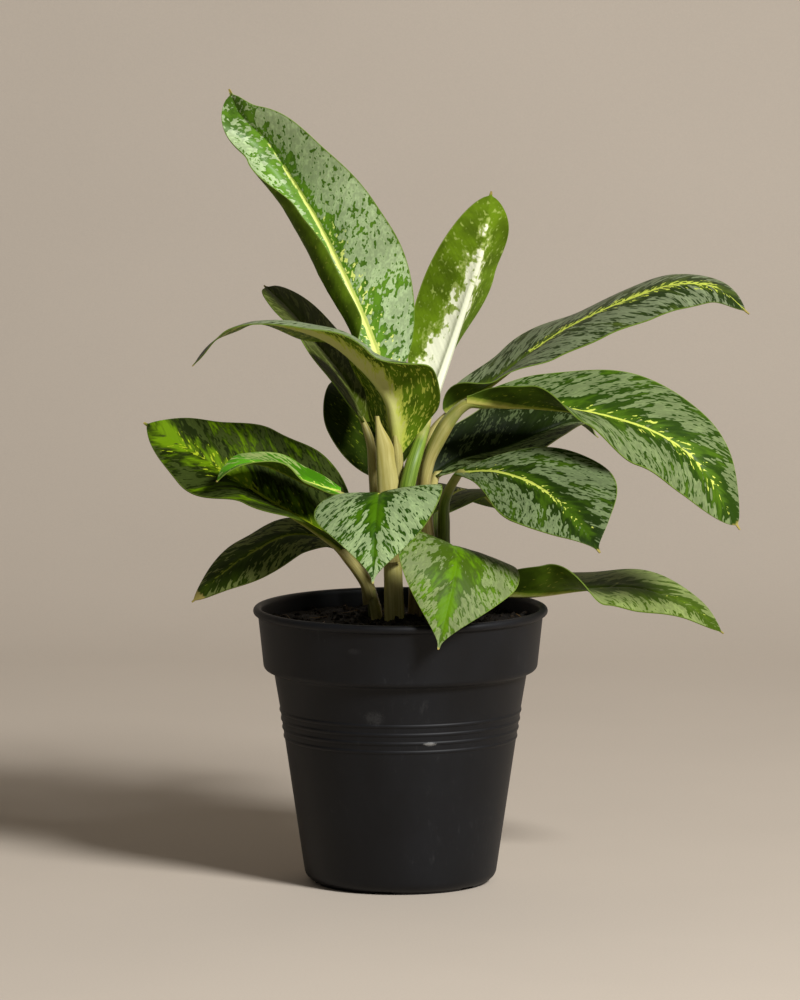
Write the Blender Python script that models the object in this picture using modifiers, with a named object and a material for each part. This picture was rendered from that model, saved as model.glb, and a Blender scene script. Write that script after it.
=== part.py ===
"""Potted chinese evergreen (Aglaonema) in a 12 cm nursery pot.

Sizes are in millimetres and become metres in mm(). The origin is the middle
of the pot's base on the floor, +Z is up and the plant's front faces -Y.
"""
import math

import bmesh
import bpy
from mathutils import Vector

# Driving dimensions of the pot
POT_TOP_D = 120.0
POT_HEIGHT = 113.0
POT_WALL = 1.3
LIP_ROLL = 1.7
COLLAR_HEIGHT = 26.0
COLLAR_TOP_R = 58.0
COLLAR_LOW_R = 55.9
LEDGE_R = 51.7
BODY_LOW_R = 39.4
FOOT_R = 35.6
FOOT_CORNER = 6.0
BASE_FLOOR = 3.4
BASE_RECESS = 1.6
FOOT_RING = 4.0
BOSS_R = 6.0
DRAIN_HOLE_D = 8.0
DRAIN_HOLE_COUNT = 6
DRAIN_CIRCLE_R = 22.0
GROOVE_TOP_Z = 71.5
GROOVE_STEP = 3.6
GROOVE_COUNT = 4
GROOVE_DEPTH = 0.5
POT_SIDES = 40
HOLE_SIDES = 16
CORNER_INSET = 1.5
CORNER_RISE = 3.0
CORNER_SLACK = 0.6
STEP_BELOW = 2.0
STEP_ABOVE = 1.6
LIP_INSET = 0.2
LIP_BELOW = 0.4
NOTCH_COUNT = 6
NOTCH_TURN = -101.0
NOTCH_WIDE = 7.2
NOTCH_HIGH = 1.1

# Potting soil
SOIL_TOP = 106.0
SOIL_MOUND = 1.6
MOUND_PLACE = (2.0, 2.0)
MOUND_SPREAD = 20.0
WIDE_RIPPLE = (0.5, 0.21, 0.17)
FINE_RIPPLE = (0.3, 0.43, 0.37)
CLEARANCE = 0.3
SLIVER = 0.01

# Stems
ROOTED_DEPTH = 26.0
STRAIGHT_TOP = 2.0
STEM_SIDES = 12
STEM_RINGS = 9
STALK_SIDES = 8
STALK_RINGS = 8
STALK_RADII = (2.9, 2.7, 2.3, 2.0)
STALK_RUN = 5.0
STALK_DROP = 0.45

# Leaf blades
BLADE_ACROSS = 8
BLADE_ALONG = 14
BLADE_EDGE = 0.7
BLADE_RIB = 2.4
BLADE_NECK = 2.4
BLADE_POINT = 0.45
DRIP_TIP = 0.018
EDGE_WAVE = 0.045
WAVE_SHIFT = 1.2
RIB_CROWDING = 1.5

COLLECTION_NAME = "potted_chinese_evergreen"

# Each shoot stands in its own hole in the soil: where it leaves the soil, its radius there
# and at its top, and the point where its top ends.
SHOOTS = {
    "shoot_main": {"place": (-2.5, 0.0), "radius": (4.1, 3.8), "top": (-3.5, 1.0, 142.0)},
    "shoot_right": {"place": (6.2, 4.5), "radius": (3.3, 3.4), "top": (8.0, 3.0, 146.0)},
    "shoot_back": {"place": (15.1, 9.5), "radius": (3.1, 3.0), "top": (17.5, 9.0, 138.0)},
    "shoot_left": {"place": (-9.6, 3.6), "radius": (2.4, 2.3), "top": (-11.8, 3.6, 119.0)},
    "shoot_low": {"place": (-11.4, 12.5), "radius": (2.0, 1.9), "top": (-12.4, 13.6, 115.0)},
}

# Each leaf: the line of its midrib from the stalk to the tip, the way its upper side faces
# from base to tip, its flat width, its outline (how far the widest place lies from the tip,
# and how slender the base and the tip are), how each half folds up from the midrib and
# curls on towards its margin, in degrees, from base to tip, and how many waves its margins
# have and where in a wave they start.
LEAVES = {
    "leaf_tall_left": {
        "shoot": "shoot_main",
        "stalk": [(-4.5, 2.5, 138), (-5, 5.5, 152), (-5.5, 9, 172), (-6, 11, 190)],
        "rib": [(-7, 13, 201.9), (-10, 19, 215.9), (-19, 27, 236.9), (-33, 32, 265.5), (-45, 33, 285.5),
                (-54, 34, 299.5), (-65, 33, 310.5), (-70, 31, 321.5)],
        "face": [(0.0, -1.0, 0.3), (0.1, -1.0, 0.25), (0.0, -1.0, 0.1)],
        "width": 53,
        "shape": (0.8, 0.85, 0.6),
        "left": [(5, 20), (0, 165), (-8, 170), (-8, 150), (-8, 90), (-10, -10)],
        "right": [(0, 0), (8, -5), (34, -12), (42, -10), (40, -10)],
        "waves": (2, 0.45),
    },
    "leaf_young_top": {
        "shoot": "shoot_right",
        "stalk": [(6.5, -1.5, 140), (2.5, -9.5, 157), (3.8, -9, 168), (7, -5, 178)],
        "rib": [(10, 4, 187.3), (15, 13, 200.8), (21, 22, 217.3), (27, 26, 235.2), (33, 27, 255.2),
                (37, 26, 280.2)],
        "face": [(-0.3, 0.93, 0.0), (-0.3, 0.93, 0.0), (-0.35, 0.93, 0.0)],
        "width": 42,
        "shape": (1.1, 0.6, 0.62),
        "left": [(88, -5), (72, -5), (50, -5), (5, 0)],
        "right": [(55, -15), (48, -12), (20, -5)],
        "waves": (2, 0.1),
    },
    "leaf_upper_right": {
        "shoot": "shoot_right",
        "stalk": [(9.5, 6.5, 142), (9, 12, 158), (9.5, 18.5, 172), (13.5, 25, 182)],
        "rib": [(18.5, 27, 189), (27, 28, 195), (37, 29, 201.5), (54, 32, 214.3), (66, 34, 222.3),
                (82, 36, 230.3), (97, 37, 236.3), (113, 37, 241.3), (130, 36, 239.8), (143, 33, 229.3)],
        "face": [(-0.2, -0.1, 1.0), (-0.3, -0.1, 0.9), (0.0, -0.2, 0.95), (0.2, -0.3, 0.9)],
        "width": 47,
        "shape": (0.9, 0.6, 0.7),
        "left": [(35, -10), (14, -12), (2, -18), (6, -25), (5, -15)],
        "right": [(80, 0), (14, -5), (3, -18), (2, -22), (-4, -22), (-12, -18), (-5, -10)],
        "waves": (2.5, 0.55),
    },
    "leaf_broad_right": {
        "shoot": "shoot_right",
        "stalk": [(10.5, 1.5, 142), (9, -0.5, 158), (10.5, -2, 171), (14.5, -3.5, 181), (20, -5.6, 190.5)],
        "rib": [(27, -8, 198), (42, -10, 197), (56, -12, 196.5), (80, -16, 193.5), (104, -20, 186),
                (121, -23, 173), (137, -25, 147.5)],
        "face": [(-0.2, -0.3, 1.0), (0.0, -0.5, 0.85), (0.6, -0.6, 0.5)],
        "width": 53,
        "shape": (1.03, 0.8, 0.66),
        "left": [(30, -12), (16, -20), (8, -20)],
        "right": [(80, 0), (55, 0), (30, -8), (10, -10), (3, -12), (0, -15)],
        "waves": (2.5, 0.3),
    },
    "leaf_shaded_right": {
        "shoot": "shoot_right",
        "stalk": [(11.4, 5.9, 137), (10.7, 8.3, 150)],
        "rib": [(13.5, 10, 165.5), (25, 16, 171.7), (41, 23, 175.4), (59, 30, 181.5), (72, 36, 184.5),
                (81.5, 42, 177.5)],
        "face": [(-0.3, -0.15, 1.0), (-0.1, -0.15, 1.0), (0.2, -0.05, 1.0)],
        "width": 39,
        "shape": (0.95, 0.6, 1.0),
        "left": [(62, -5), (58, -10), (45, -12), (20, -10)],
        "right": [(0, -5), (-3, -8), (10, -8), (12, -5)],
        "waves": (2, 0.4),
    },
    "leaf_middle_right": {
        "shoot": "shoot_back",
        "stalk": [(17.5, 8, 132), (17.5, 4, 146), (18, -1, 157)],
        "rib": [(23, -8, 169), (38, -22, 171), (52, -34, 168), (64, -45, 161), (73.5, -55.5, 151.5),
                (79.5, -62, 143)],
        "face": [(-0.3, -0.5, 0.8), (0.0, -0.75, 0.65), (0.2, -0.9, 0.35)],
        "width": 52,
        "shape": (1.5, 0.6, 1.3),
        "left": [(0, 0), (0, -8), (10, -10)],
        "right": [(20, 0), (20, -5), (25, -10)],
        "waves": (2, 0.7),
    },
    "leaf_front_right": {
        "shoot": "shoot_right",
        "stalk": [(8.2, 2.6, 118.6), (10.3, -2, 126)],
        "rib": [(16, -14, 134), (20, -30, 142), (23, -46, 141), (21, -58, 130), (15, -69, 105)],
        "face": [(0.42, -0.25, 0.88), (0.5, -0.5, 0.75), (0.1, -1.0, 0.35)],
        "width": 56,
        "shape": (0.85, 0.8, 1.25),
        "left": [(10, -10), (10, -15), (8, -10)],
        "right": [(5, -10), (0, -15), (5, -10)],
        "waves": (1.5, 0.1),
    },
    "leaf_front_left": {
        "shoot": "shoot_main",
        "stalk": [(-4.5, -0.5, 136), (-5, -5, 147)],
        "rib": [(-6, -14, 158), (-8, -28, 163), (-9, -46, 163), (-10, -60, 154), (-11, -73, 132)],
        "face": [(-0.05, -0.2, 1.0), (-0.25, -0.5, 0.9), (0.0, -1.0, 0.5)],
        "width": 53,
        "shape": (0.95, 0.95, 1.35),
        "left": [(10, -10), (5, -15), (5, -10)],
        "right": [(10, -10), (5, -15), (5, -10)],
        "waves": (1.5, 0.6),
    },
    "leaf_arching_left": {
        "shoot": "shoot_main",
        "stalk": [(-2.5, -1, 138), (-1.5, -3, 150), (-1, -4.5, 164)],
        "rib": [(-1.2, -6, 176), (-2.5, -8.5, 188), (-5.5, -12, 200), (-16, -18, 213.4), (-32, -21, 225.4),
                (-57, -22, 231.4), (-73, -21, 225.4), (-84, -20, 213.4)],
        "face": [(0.1, 1.0, 0.1), (0.25, 0.85, 0.35), (0.45, 0.7, 0.6), (0.3, 0.45, 0.85), (0.1, 0.08, 1.0),
                 (-0.6, -0.1, 0.8)],
        "width": 54,
        "shape": (0.76, 0.85, 0.7),
        "left": [(48, -10), (22, -25), (8, -68), (5, -45), (0, -5), (0, 0)],
        "right": [(40, -10), (52, -10), (44, -10), (18, -10), (0, -5), (0, 0)],
        "waves": (2.5, 0.3),
    },
    "leaf_behind_left": {
        "shoot": "shoot_main",
        "stalk": [(-6.0, 2.5, 138), (-9.5, 6, 150), (-11, 9, 166), (-12, 11, 178)],
        "rib": [(-14, 13, 187), (-22, 22, 203), (-33, 32, 216), (-44, 40, 229), (-56, 45, 240)],
        "face": [(0.6, -0.3, 0.75), (0.6, -0.25, 0.75), (0.6, -0.3, 0.7)],
        "width": 42,
        "shape": (1.0, 0.6, 0.35),
        "left": [(15, -10), (15, -10), (10, -10)],
        "right": [(15, -10), (15, -10), (10, -10)],
        "waves": (2, 0.3),
    },
    "leaf_dark_back": {
        "shoot": "shoot_main",
        "stalk": [(-3.5, 4.5, 134), (-6, 12, 147)],
        "rib": [(-9, 24, 163), (-11, 37, 178), (-13, 50, 191), (-15, 63, 198), (-16, 78, 199)],
        "face": [(0.1, -0.7, 0.7), (0.0, -0.6, 0.8), (-0.1, -0.3, 0.95)],
        "width": 40,
        "shape": (0.85, 0.65, 0.65),
        "left": [(15, -10), (15, -10), (10, -10)],
        "right": [(15, -10), (15, -10), (10, -10)],
        "waves": (2, 0),
    },
    "leaf_broad_left": {
        "shoot": "shoot_left",
        "stalk": [(-11.8, 3.6, 116), (-15, 3, 124)],
        "rib": [(-24, 0, 137), (-38, -4, 147.5), (-53, -7, 157), (-67, -9, 166.5), (-85, -10, 178.5),
                (-96, -9, 184.5), (-104, -7, 189)],
        "face": [(0.2, -0.7, 0.7), (0.15, -0.75, 0.6), (0.1, -0.8, 0.5)],
        "width": 57,
        "shape": (0.74, 0.5, 0.74),
        "left": [(58, -5), (56, -5), (48, -5), (15, -5), (5, 0)],
        "right": [(25, 0), (25, 0), (12, -5), (-8, -5), (0, 0)],
        "waves": (2.5, 0.5),
    },
    "leaf_narrow_left": {
        "shoot": "shoot_main",
        "stalk": [(-6.0, -0.5, 138), (-12, -5, 150)],
        "rib": [(-24, -11, 161), (-37, -17, 166), (-47, -22, 171), (-55, -27, 174.5), (-63, -32, 175.5),
                (-70, -35, 172.5), (-74, -37, 168.5)],
        "face": [(0.0, -0.4, 1.0), (0.0, -0.12, 1.0), (0.0, 0.14, 1.0), (-0.2, 0.1, 1.0)],
        "width": 24,
        "shape": (1.0, 0.75, 0.75),
        "left": [(2, 0), (2, 0), (0, 0)],
        "right": [(28, 0), (28, 0), (15, 0)],
        "waves": (2, 0.2),
    },
    "leaf_low_left": {
        "shoot": "shoot_low",
        "stalk": [(-12.4, 13.6, 112), (-14.5, 15, 122)],
        "rib": [(-22, 15.5, 133.5), (-32, 13.5, 139.5), (-46, 9, 141), (-60, 4, 135), (-73, 1, 126),
                (-85, -2, 115)],
        "face": [(-0.1, -0.4, 0.9), (-0.2, -0.5, 0.9), (-0.5, -0.4, 0.7)],
        "width": 37,
        "shape": (1.0, 1.0, 0.75),
        "left": [(18, -10), (6, -12), (0, -12)],
        "right": [(15, -10), (-5, -20), (0, -12)],
        "waves": (2, 0.6),
    },
    "leaf_low_right": {
        "shoot": "shoot_back",
        "stalk": [(15.4, 9.0, 108), (20, 11, 114)],
        "rib": [(32, 13, 117), (54, 17, 116), (78, 20, 118), (98, 18, 118), (117, 12, 112), (132, 6, 101)],
        "face": [(0.0, -0.2, 1.0), (0.0, -0.25, 1.0), (0.4, -0.3, 0.9)],
        "width": 42,
        "shape": (0.95, 0.75, 0.75),
        "left": [(20, -10), (5, -15), (5, -10)],
        "right": [(60, 60), (45, 40), (5, -12), (0, -15), (0, -10)],
        "waves": (2.5, 0.9),
    },
    "leaf_small_back": {
        "shoot": "shoot_back",
        "stalk": [(17.0, 10, 132), (15.5, 15, 139)],
        "rib": [(15, 26, 147), (19, 41, 152), (26, 57, 154), (34, 75, 150), (40, 91, 142)],
        "face": [(0.0, -0.2, 1.0), (0.0, -0.1, 1.0), (0.0, 0.2, 1.0)],
        "width": 40,
        "shape": (0.95, 0.75, 0.75),
        "left": [(15, -10), (10, -15), (5, -10)],
        "right": [(15, -10), (10, -15), (5, -10)],
        "waves": (2, 0.45),
    },
}


def mm(value):
    return value * 0.001


def clear_scene():
    for old in list(bpy.data.objects):
        bpy.data.objects.remove(old, do_unlink=True)


def new_collection(name, hidden=False):
    collection = bpy.data.collections.new(name)
    bpy.context.scene.collection.children.link(collection)
    collection.hide_render = hidden
    return collection


def make_material(name, colour, roughness):
    material = bpy.data.materials.new(name)
    material.use_nodes = True
    shader = material.node_tree.nodes["Principled BSDF"]
    shader.inputs["Base Color"].default_value = (*colour, 1.0)
    shader.inputs["Roughness"].default_value = roughness
    shader.inputs["Metallic"].default_value = 0.0
    material.diffuse_color = (*colour, 1.0)
    return material


def new_object(name, mesh, collection, material=None):
    obj = bpy.data.objects.new(name, mesh)
    collection.objects.link(obj)
    if material:
        mesh.materials.append(material)
    return obj


def evaluated_copy(obj, name, collection, material=None):
    """The object's evaluated shape as a mesh object with no modifiers."""
    depsgraph = bpy.context.evaluated_depsgraph_get()
    depsgraph.update()
    mesh = bpy.data.meshes.new_from_object(obj.evaluated_get(depsgraph))
    mesh.name = name
    place = obj.matrix_world.copy()
    bpy.data.objects.remove(obj, do_unlink=True)
    bm = bmesh.new()
    bm.from_mesh(mesh)
    bmesh.ops.remove_doubles(bm, verts=bm.verts, dist=mm(0.01))
    bmesh.ops.recalc_face_normals(bm, faces=bm.faces)
    bm.to_mesh(mesh)
    bm.free()
    mesh.materials.clear()
    copy = new_object(name, mesh, collection, material)
    copy.matrix_world = place
    return copy


def turned(name, profile, sides, collection, material=None):
    """A profile of (radius, height) points turned round the Z axis."""
    bm = bmesh.new()
    verts = [bm.verts.new((mm(radius), 0.0, mm(height))) for radius, height in profile]
    for start, end in zip(verts, verts[1:]):
        bm.edges.new((start, end))
    mesh = bpy.data.meshes.new(name)
    bm.to_mesh(mesh)
    bm.free()
    obj = new_object(name, mesh, collection, material)
    screw = obj.modifiers.new("Turn", "SCREW")
    screw.axis = "Z"
    screw.angle = math.tau
    screw.steps = sides
    screw.render_steps = sides
    screw.use_merge_vertices = True
    screw.merge_threshold = 0.00001
    screw.use_normal_calculate = True
    return obj


def cylinder(name, radius, low, high, place, sides, collection):
    bm = bmesh.new()
    bmesh.ops.create_cone(bm, cap_ends=True, segments=sides, radius1=mm(radius), radius2=mm(radius),
                          depth=mm(high - low))
    mesh = bpy.data.meshes.new(name)
    bm.to_mesh(mesh)
    bm.free()
    obj = new_object(name, mesh, collection)
    obj.location = (mm(place[0]), mm(place[1]), mm((low + high) / 2))
    return obj


def cut(target, cutters, solver="EXACT"):
    for cutter in cutters:
        boolean = target.modifiers.new("Cut " + cutter.name, "BOOLEAN")
        boolean.operation = "DIFFERENCE"
        boolean.solver = solver
        boolean.object = cutter
        cutter.display_type = "WIRE"
        cutter.hide_render = True


def weld_slivers(obj):
    """Closes the hairline edges that the Booleans leave where shapes meet."""
    weld = obj.modifiers.new("Weld slivers", "WELD")
    weld.merge_threshold = mm(SLIVER)


def along(values, u):
    """Values at equal steps from base to tip, read smoothly at u from 0 to 1."""
    place = min(max(u, 0.0), 1.0) * (len(values) - 1)
    step = min(int(place), len(values) - 2)
    blend = place - step
    blend = blend * blend * (3.0 - 2.0 * blend)
    return [a + (b - a) * blend for a, b in zip(values[step], values[step + 1])]


class Path:
    """A smooth line through a few points, read by its length from 0 to 1."""

    samples = 96

    def __init__(self, points):
        self.points = [Vector(point) for point in points]
        self.line = [self.spline(i / self.samples) for i in range(self.samples + 1)]
        self.reach = [0.0]
        for start, end in zip(self.line, self.line[1:]):
            self.reach.append(self.reach[-1] + (end - start).length)

    def spline(self, t):
        points = self.points
        last = len(points) - 1
        place = t * last
        i = min(int(place), last - 1)
        f = place - i
        before = points[i - 1] if i > 0 else points[0] * 2 - points[1]
        after = points[i + 2] if i + 2 <= last else points[last] * 2 - points[last - 1]
        here, there = points[i], points[i + 1]
        return 0.5 * (2 * here + (there - before) * f
                      + (2 * before - 5 * here + 4 * there - after) * f * f
                      + (3 * here - before - 3 * there + after) * f * f * f)

    def at(self, u):
        goal = min(max(u, 0.0), 1.0) * self.reach[-1]
        i = 0
        while i < self.samples - 1 and self.reach[i + 1] < goal:
            i += 1
        span = self.reach[i + 1] - self.reach[i]
        blend = (goal - self.reach[i]) / span
        return self.line[i].lerp(self.line[i + 1], blend)

    def heading(self, u):
        step = 0.02
        return (self.at(min(u + step, 1.0)) - self.at(max(u - step, 0.0))).normalized()


def blade_half_width(leaf, u):
    skew, base_power, tip_power = leaf["shape"]
    place = min(u / (1.0 - DRIP_TIP), 1.0)
    power = base_power + (tip_power - base_power) * place
    body = max(math.sin(math.pi * place ** skew), 0.0) ** power * leaf["width"] / 2
    neck = BLADE_POINT + (BLADE_NECK - BLADE_POINT) * math.sqrt(1.0 - u)
    return math.hypot(body, neck)


def bent(width, fold, curl):
    """Across and up reach of a half blade that leaves at fold and turns by curl."""
    if abs(curl) < 0.01:
        return width * math.cos(fold), width * math.sin(fold)
    across = width * (math.sin(fold + curl) - math.sin(fold)) / curl
    up = width * (math.cos(fold) - math.cos(fold + curl)) / curl
    return across, up


def blade_point(leaf, path, u, v):
    """A point of the upper side, u from base to tip and v from -1 left to 1 right."""
    heading = path.heading(u)
    face = Vector(along(leaf["face"], u))
    side = heading.cross(face).normalized()
    up = side.cross(heading)
    fold, curl = along(leaf["right" if v > 0 else "left"], u)
    reach = abs(v)
    width = blade_half_width(leaf, u) * reach
    across, rise = bent(width, math.radians(fold), math.radians(curl) * reach)
    waves, start = leaf["waves"]
    wave = math.sin(math.tau * (waves * u + start) + math.copysign(WAVE_SHIFT, v))
    rise += EDGE_WAVE * wave * reach * width * math.sin(math.pi * u)
    return path.at(u) + side * math.copysign(across, v) + up * rise


def make_blade(name, leaf, collection, material):
    path = Path(leaf["rib"])
    bm = bmesh.new()
    bmesh.ops.create_grid(bm, x_segments=BLADE_ACROSS, y_segments=BLADE_ALONG, size=1.0)
    weights = []
    for vert in bm.verts:
        v = math.copysign(abs(vert.co.x) ** RIB_CROWDING, vert.co.x)
        u = (vert.co.y + 1.0) / 2
        on_rib = 1.0 if abs(v) < 0.01 else 0.0
        thick = BLADE_EDGE + (BLADE_RIB - BLADE_EDGE) * on_rib * (1.0 - u)
        weights.append(thick / BLADE_RIB)
        vert.co = blade_point(leaf, path, u, v) * mm(1.0)
    bmesh.ops.triangulate(bm, faces=bm.faces, quad_method="BEAUTY")
    mesh = bpy.data.meshes.new(name)
    bm.to_mesh(mesh)
    bm.free()
    obj = new_object(name, mesh, collection, material)
    group = obj.vertex_groups.new(name="thickness")
    for index, weight in enumerate(weights):
        group.add([index], weight, "REPLACE")
    solid = obj.modifiers.new("Thickness", "SOLIDIFY")
    solid.thickness = mm(BLADE_RIB)
    solid.offset = -1.0
    solid.vertex_group = group.name
    solid.use_quality_normals = True
    return obj


def make_tube(name, points, radii, collection, sides, rings):
    """A round stem along a smooth line, with its radius read along its length."""
    path = Path(points)
    bm = bmesh.new()
    bmesh.ops.create_cone(bm, cap_ends=False, segments=sides, radius1=1.0, radius2=1.0, depth=2.0)
    upright = [e for e in bm.edges if abs(e.verts[0].co.z - e.verts[1].co.z) > 1.0]
    bmesh.ops.subdivide_edges(bm, edges=upright, cuts=rings - 1)
    side = Vector((1.0, 0.0, 0.0))
    frames = []
    for ring in range(rings + 1):
        heading = path.heading(ring / rings)
        side = (side - heading * side.dot(heading)).normalized()
        frames.append((path.at(ring / rings), side.copy(), heading.cross(side)))
    for vert in bm.verts:
        ring = round((vert.co.z + 1.0) / 2 * rings)
        centre, across, deep = frames[ring]
        (radius,) = along([(r,) for r in radii], ring / rings)
        angle = math.atan2(vert.co.y, vert.co.x)
        vert.co = (centre + across * radius * math.cos(angle) + deep * radius * math.sin(angle)) * mm(1.0)
    ends = [e for e in bm.edges if e.is_boundary]
    bmesh.ops.holes_fill(bm, edges=ends, sides=sides)
    bmesh.ops.triangulate(bm, faces=bm.faces)
    bmesh.ops.recalc_face_normals(bm, faces=bm.faces)
    mesh = bpy.data.meshes.new(name)
    bm.to_mesh(mesh)
    bm.free()
    return new_object(name, mesh, collection)


def stalk_points(leaf):
    """The stalk's own points, then its end just short of the blade's base."""
    rib = Path(leaf["rib"])
    heading = rib.heading(0.0)
    face = Vector(leaf["face"][0])
    side = heading.cross(face).normalized()
    up = side.cross(heading)
    end = rib.at(0.0) - heading * CLEARANCE - up * BLADE_RIB * STALK_DROP
    return [*leaf["stalk"], end - heading * STALK_RUN, end]


def pot_profile():
    """From the middle of the inner floor up the inside, over the lip and down the outside."""
    top = POT_HEIGHT - LIP_ROLL
    collar_low = POT_HEIGHT - COLLAR_HEIGHT
    foot_top = FOOT_CORNER
    slope = (LEDGE_R - BODY_LOW_R) / (collar_low - foot_top)

    def body(height):
        return BODY_LOW_R + slope * (height - foot_top)

    inside = [
        (0.0, BASE_FLOOR),
        (FOOT_R - CORNER_INSET, BASE_FLOOR),
        (BODY_LOW_R - POT_WALL - CORNER_SLACK, BASE_FLOOR + CORNER_RISE),
        (body(collar_low - STEP_BELOW) - POT_WALL, collar_low - STEP_BELOW),
        (COLLAR_LOW_R - POT_WALL - LIP_BELOW, collar_low + STEP_ABOVE),
        (COLLAR_TOP_R - POT_WALL - LIP_INSET, top - LIP_BELOW),
    ]
    lip_centre = POT_TOP_D / 2 - LIP_ROLL
    lip = []
    for angle in (150, 115, 80, 45, 10, -30, -65):
        turn = math.radians(angle)
        lip.append((lip_centre + LIP_ROLL * math.cos(turn), top + LIP_ROLL * math.sin(turn)))
    collar = [
        (COLLAR_TOP_R, top - LIP_ROLL - 0.6),
        (COLLAR_LOW_R, collar_low + 1.2),
        (COLLAR_LOW_R - 0.9, collar_low + 0.2),
        (LEDGE_R + 0.3, collar_low - 0.4),
        (LEDGE_R - 0.1, collar_low - 1.2),
    ]
    grooves = []
    for ring in range(GROOVE_COUNT):
        height = GROOVE_TOP_Z - ring * GROOVE_STEP
        grooves.append((body(height), height))
        grooves.append((body(height) - GROOVE_DEPTH, height - GROOVE_STEP / 3))
    grooves.append((body(height), height - GROOVE_STEP))
    foot = [
        (BODY_LOW_R, foot_top),
        (BODY_LOW_R - 0.9, foot_top - 3.0),
        (FOOT_R + 0.9, 0.8),
        (FOOT_R - 0.3, 0.0),
        (FOOT_R - FOOT_RING, 0.0),
        (FOOT_R - FOOT_RING - 0.8, BASE_RECESS),
        (BOSS_R + 0.8, BASE_RECESS),
        (BOSS_R, 0.0),
        (0.0, 0.0),
    ]
    return inside + lip + collar + grooves + foot


def notch_cutter(name, turn, collection):
    """A bar through the foot ring, which leaves a low gap that water runs out of."""
    middle = FOOT_R - FOOT_RING / 2
    size = (mm(FOOT_RING * 3), mm(NOTCH_WIDE), mm(NOTCH_HIGH * 2))
    bm = bmesh.new()
    bmesh.ops.create_cube(bm, size=1.0)
    bmesh.ops.scale(bm, vec=size, verts=bm.verts)
    mesh = bpy.data.meshes.new(name)
    bm.to_mesh(mesh)
    bm.free()
    obj = new_object(name, mesh, collection)
    obj.location = (mm(middle * math.cos(turn)), mm(middle * math.sin(turn)), 0.0)
    obj.rotation_euler = (0.0, 0.0, turn)
    return obj


def make_pot(collection, cutters, material):
    pot = turned("pot", pot_profile(), POT_SIDES, collection, material)
    holes = []
    for hole in range(DRAIN_HOLE_COUNT):
        turn = math.tau * (hole + 0.5) / DRAIN_HOLE_COUNT
        place = (DRAIN_CIRCLE_R * math.cos(turn), DRAIN_CIRCLE_R * math.sin(turn))
        name = f"drain_cutter_{hole + 1}"
        low, high = -BASE_FLOOR, 2 * BASE_FLOOR
        holes.append(cylinder(name, DRAIN_HOLE_D / 2, low, high, place, HOLE_SIDES, cutters))
    for notch in range(NOTCH_COUNT):
        turn = math.radians(NOTCH_TURN) + math.tau * notch / NOTCH_COUNT
        holes.append(notch_cutter(f"notch_cutter_{notch + 1}", turn, cutters))
    cut(pot, holes)
    return pot


def soil_height(x, y):
    """The soil's uneven surface, a little higher round the stems."""
    distance = math.hypot(x - MOUND_PLACE[0], y - MOUND_PLACE[1])
    mound = SOIL_MOUND * math.exp(-(distance / MOUND_SPREAD) ** 2)
    height, rate_x, rate_y = WIDE_RIPPLE
    wide = height * math.sin(x * rate_x + 1.0) * math.cos(y * rate_y)
    height, rate_x, rate_y = FINE_RIPPLE
    fine = height * math.sin(x * rate_x - y * rate_y)
    return SOIL_TOP + mound + wide + fine


def make_soil(collection, cutters, material):
    collar_low = POT_HEIGHT - COLLAR_HEIGHT
    inner = pot_profile()[1:6]
    gap = CLEARANCE
    (floor_r, floor_z), (corner_r, corner_z), (wall_r, wall_z), (step_r, step_z), (rim_r, rim_z) = inner
    blend = (SOIL_TOP - step_z) / (rim_z - step_z)
    top_r = step_r + (rim_r - step_r) * blend
    profile = [(0.0, SOIL_TOP)]
    profile += [(top_r * share - gap, SOIL_TOP) for share in (0.25, 0.5, 0.75, 1.0)]
    profile += [
        (step_r - gap, step_z + gap),
        (wall_r - gap, wall_z + gap),
        (corner_r - gap, corner_z + gap * 0.5),
        (floor_r - gap, floor_z + gap),
        (0.0, floor_z + gap),
    ]
    body = turned("potting_soil", profile, POT_SIDES, collection)
    soil = evaluated_copy(body, "potting_soil", collection, material)
    for vert in soil.data.vertices:
        if vert.co.z > mm(SOIL_TOP - 0.1):
            vert.co.z = mm(soil_height(vert.co.x * 1000.0, vert.co.y * 1000.0))
    holes = []
    for name, shoot in SHOOTS.items():
        hole_r = shoot["radius"][0] + CLEARANCE
        low = SOIL_TOP - ROOTED_DEPTH - CLEARANCE
        holes.append(cylinder(name + "_hole", hole_r, low, POT_HEIGHT, shoot["place"], HOLE_SIDES, cutters))
    cut(soil, holes)
    weld_slivers(soil)
    return soil


def make_shoot(name, shoot, collection, cutters, material):
    """A shoot's stem with its leaf stalks, joined in one body."""
    x, y = shoot["place"]
    top = shoot["top"]
    rise = SOIL_TOP + STRAIGHT_TOP
    base = SOIL_TOP - ROOTED_DEPTH
    low_r, high_r = shoot["radius"]
    points = [(x, y, base), (x, y, (base + rise) / 2), (x, y, rise), top]
    stem = make_tube(name, points, [low_r, low_r, low_r, high_r], collection, STEM_SIDES, STEM_RINGS)
    stem.data.materials.append(material)
    for leaf_name, leaf in LEAVES.items():
        if leaf["shoot"] != name:
            continue
        line = stalk_points(leaf)
        stalk = make_tube(leaf_name + "_stalk", line, STALK_RADII, cutters, STALK_SIDES, STALK_RINGS)
        union = stem.modifiers.new("Join " + leaf_name, "BOOLEAN")
        union.operation = "UNION"
        union.solver = "EXACT"
        union.object = stalk
        stalk.display_type = "WIRE"
        stalk.hide_render = True
    weld_slivers(stem)
    return stem


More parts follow.
